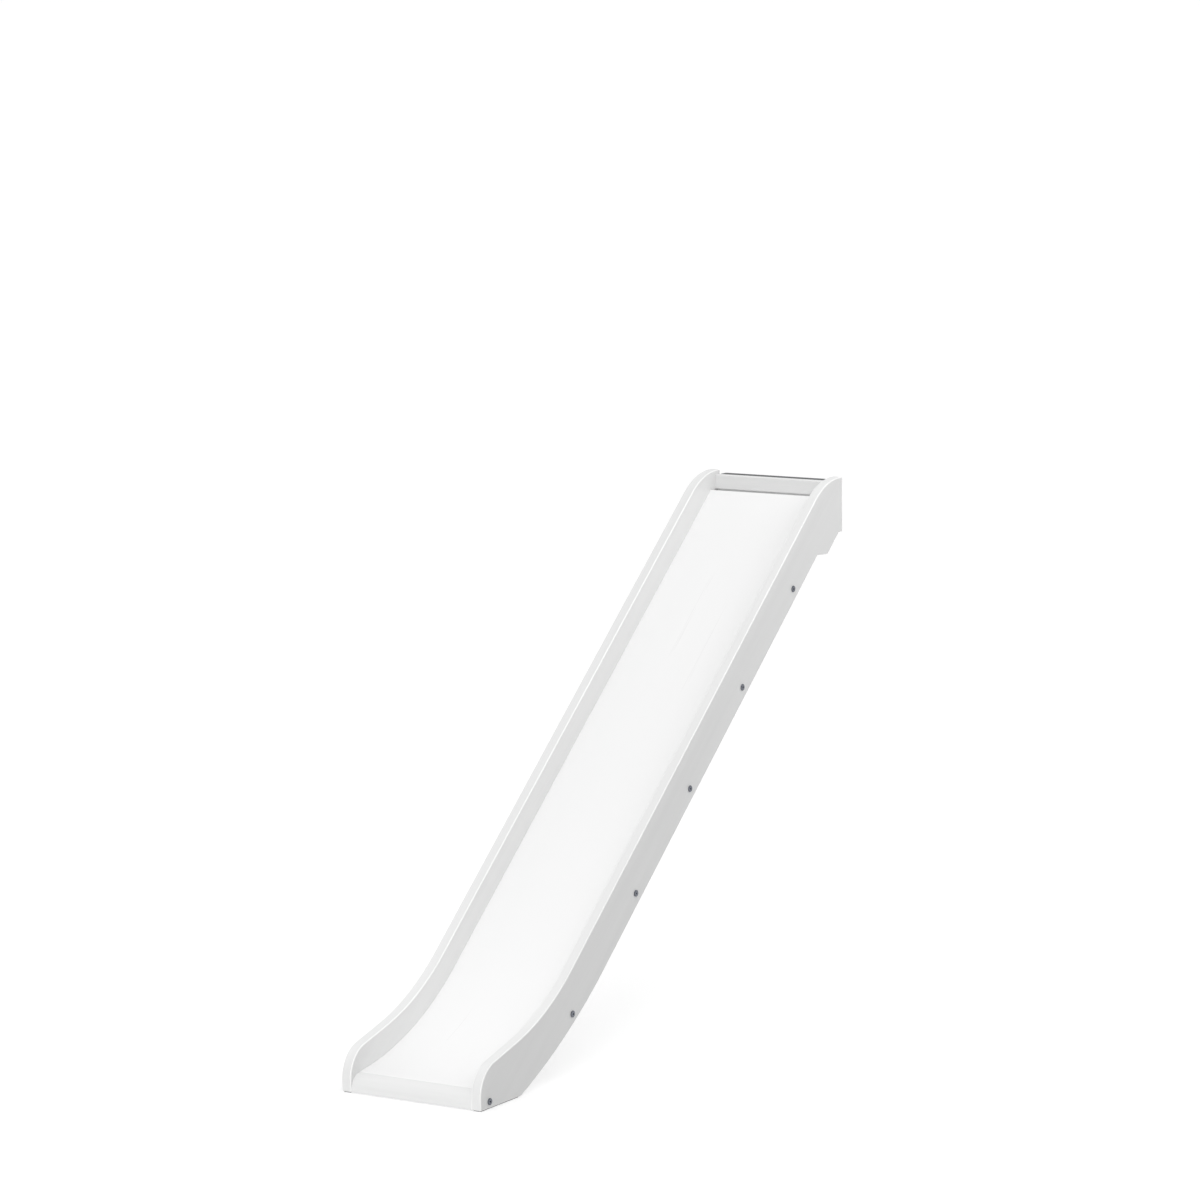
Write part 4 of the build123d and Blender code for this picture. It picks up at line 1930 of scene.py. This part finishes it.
# ---- Studio ---------------------------------------------------------------------------------
@dataclass(frozen=True)
class SoftLight:
    """A rectangular light that faces a point.

    Attributes:
        name: its name.
        place: its middle.
        aim: the point that it faces.
        size: width and height.
        radiance: brightness of its face.
    """

    name: str
    place: Triple
    aim: Triple
    size: Point
    radiance: float

    def build(self) -> None:
        """Adds the light; its power is radiance times pi times its area."""
        lamp = bpy.data.lights.new(self.name, "AREA")
        lamp.shape = "RECTANGLE"
        lamp.size, lamp.size_y = self.size
        lamp.energy = self.radiance * math.pi * self.size[0] * self.size[1]
        light = bpy.data.objects.new(self.name, lamp)
        light.location = self.place
        away = Vector(self.place) - Vector(self.aim)
        light.rotation_euler = away.to_track_quat("Z", "Y").to_euler()
        light.visible_camera = False
        bpy.context.scene.collection.objects.link(light)


@dataclass(frozen=True)
class Glow:
    """A soft bright region of the surroundings.

    Attributes:
        towards: direction of its middle.
        strength: brightness of its middle.
        power: how tightly it gathers round its middle.
    """

    towards: Triple
    strength: float
    power: float = 2.0


@dataclass(frozen=True)
class Studio:
    """Pale floor, soft white surroundings, side lights and the camera.

    Attributes:
        floor_half: half the floor's width.
        floor_colour: brightness of the floor.
        floor_glow: light that it gives off, so that it stays white to its far end.
        glows: the bright regions of the surroundings.
        lights: the side lights.
        lens: focal length in millimetres, for a sensor 36 mm wide.
        camera: the camera's place.
        ahead: direction that it looks in.
        roll: degrees that it is turned to its own left.
    """

    floor_half: float = 400.0
    floor_colour: float = 0.99
    floor_glow: float = 0.10
    glows: tuple[Glow, ...] = ()
    lights: tuple[SoftLight, ...] = ()
    lens: float = 143.04
    camera: Triple = (5.8201, -9.2897, 2.5938)
    ahead: Triple = (-0.5264, 0.8382, -0.1426)
    roll: float = -0.569

    def build_floor(self) -> None:
        """A flat floor whose tone and gloss drift faintly.

        The glow from below lights the slide in the floor's place, so the floor sends no light back
        and keeps none of that glow from the slide.
        """
        half = self.floor_half
        corner = np.array([[-1, -1, 0], [1, -1, 0], [1, 1, 0], [-1, 1, 0]], float) * half
        mesh = bpy.data.meshes.new("floor")
        mesh.from_pydata(corner.tolist(), [], [(0, 1, 2, 3)])
        floor = bpy.data.objects.new("floor", mesh)
        bpy.context.scene.collection.objects.link(floor)
        shader = Shader("floor")
        cloud = shader.noise((1.5,) * 3, detail=2)
        shader.colour(shader.tinted(cloud, (self.floor_colour,) * 3, (0.998, 1.002)))
        shader.roughness(shader.remap(cloud, 0.85, 0.95))
        shader.fix(Specular_IOR_Level=0.0, Emission_Strength=self.floor_glow)
        shader.surface.inputs["Emission Color"].default_value = (1, 1, 1, 1)
        mesh.materials.append(shader.material)
        floor.visible_diffuse = False
        floor.visible_shadow = False

    def build_sky(self) -> None:
        """Surroundings whose brightness is the sum of the glows.

        A glow gives its strength times the cosine of the angle from its middle, to its power.
        """
        world = bpy.data.worlds.new("studio")
        bpy.context.scene.world = world
        world.use_nodes = True
        nodes, links = world.node_tree.nodes, world.node_tree.links
        place = nodes.new("ShaderNodeTexCoord").outputs["Generated"]
        total = None
        for glow in self.glows:
            cosine = nodes.new("ShaderNodeVectorMath")
            cosine.operation = "DOT_PRODUCT"
            cosine.inputs[1].default_value = Vector(glow.towards).normalized()
            links.new(place, cosine.inputs[0])
            steps = (("MAXIMUM", 0.0), ("POWER", glow.power), ("MULTIPLY", glow.strength))
            value = cosine.outputs["Value"]
            for operation, number in steps:
                step = nodes.new("ShaderNodeMath")
                step.operation = operation
                step.inputs[1].default_value = number
                links.new(value, step.inputs[0])
                value = step.outputs[0]
            if total is not None:
                both = nodes.new("ShaderNodeMath")
                links.new(total, both.inputs[0])
                links.new(value, both.inputs[1])
                value = both.outputs[0]
            total = value
        links.new(total, nodes["Background"].inputs["Strength"])
        nodes["Background"].inputs["Color"].default_value = (1, 1, 1, 1)

    def build_camera(self) -> None:
        """The camera, from its viewing direction and its roll about it."""
        ahead = Vector(self.ahead).normalized()
        level = ahead.cross(Vector((0, 0, 1))).normalized()
        above = level.cross(ahead)
        roll = math.radians(self.roll)
        right = level * math.cos(roll) + above * math.sin(roll)
        up = right.cross(ahead)
        lens = bpy.data.cameras.new("camera")
        lens.lens, lens.sensor_width = self.lens, 36.0
        lens.clip_start, lens.clip_end = 0.1, 2000.0
        camera = bpy.data.objects.new("camera", lens)
        turn = Matrix((right, up, -ahead)).transposed().to_4x4()
        camera.matrix_world = Matrix.Translation(self.camera) @ turn
        bpy.context.scene.collection.objects.link(camera)
        bpy.context.scene.camera = camera

    def build(self) -> None:
        """Builds everything around the slide."""
        self.build_floor()
        self.build_sky()
        for light in self.lights:
            light.build()
        self.build_camera()
        bpy.context.scene.view_settings.view_transform = "Standard"
        LOG.info("studio: floor, surroundings, %d lights and camera", len(self.lights))


GLOWS = (
    Glow((0, 0, 1), 0.84),
    Glow((0.35, -0.80, 0.50), 1.74, 8.0),
    Glow((0, -1, 0), 0.28),
    Glow((-1, 0, 0), 0.95),
    Glow((0, 1, 0), 0.80),
    Glow((0, 0, -1), 1.20),
    Glow((0.70, 0, 0.70), 0.50, 8.0),
)
LIGHTS = (
    SoftLight("side_box", (2.4, 0.9, 2.0), (0.18, 0.6, 1.0), (0.9, 0.9), 2.6),
    SoftLight("high_box", (1.6, 0.8, 2.3), (0.18, 0.6, 1.0), (0.9, 0.9), 2.5),
    SoftLight("front_low", (0.2, -3.0, 0.5), (0.0, -0.8, 0.1), (1.0, 1.0), 3.4),
)


def main() -> None:
    """Builds the slide's pieces in order, then the studio."""
    logging.basicConfig(level=logging.INFO, format="%(name)s: %(message)s")
    lines = SlideLines.from_frame()
    down = PaintedWood(Grain.DOWN_SLOPE, lines.slope).material()
    across = PaintedWood(Grain.ACROSS, lines.slope).material()
    bolt_steel = ZincSteel("bolt_steel", (0.155, 0.165, 0.190), (0.19, 0.33)).material()
    nut_steel = ZincSteel("nut_steel", (0.62, 0.62, 0.60), (0.22, 0.36)).material()
    rubber = Rubber().material()
    hook = HookPlate(lines)
    for side in Side:
        SideRail(lines, side).build(down)
    BedSheet(lines).build(Laminate().material())
    InnerPieces(across, Beech().material(), nut_steel).dress()
    TopBoard(lines, hook).build(across)
    NoseBoard(lines).build(across)
    hook.build(PowderCoat().material())
    HookScrew(hook).build(nut_steel)
    for side in Side:
        ConnectorBolt(lines).build(side, bolt_steel)
        FootPad(lines, side).build(rubber)
    Studio(glows=GLOWS, lights=LIGHTS).build()


if __name__ == "__main__":
    main()
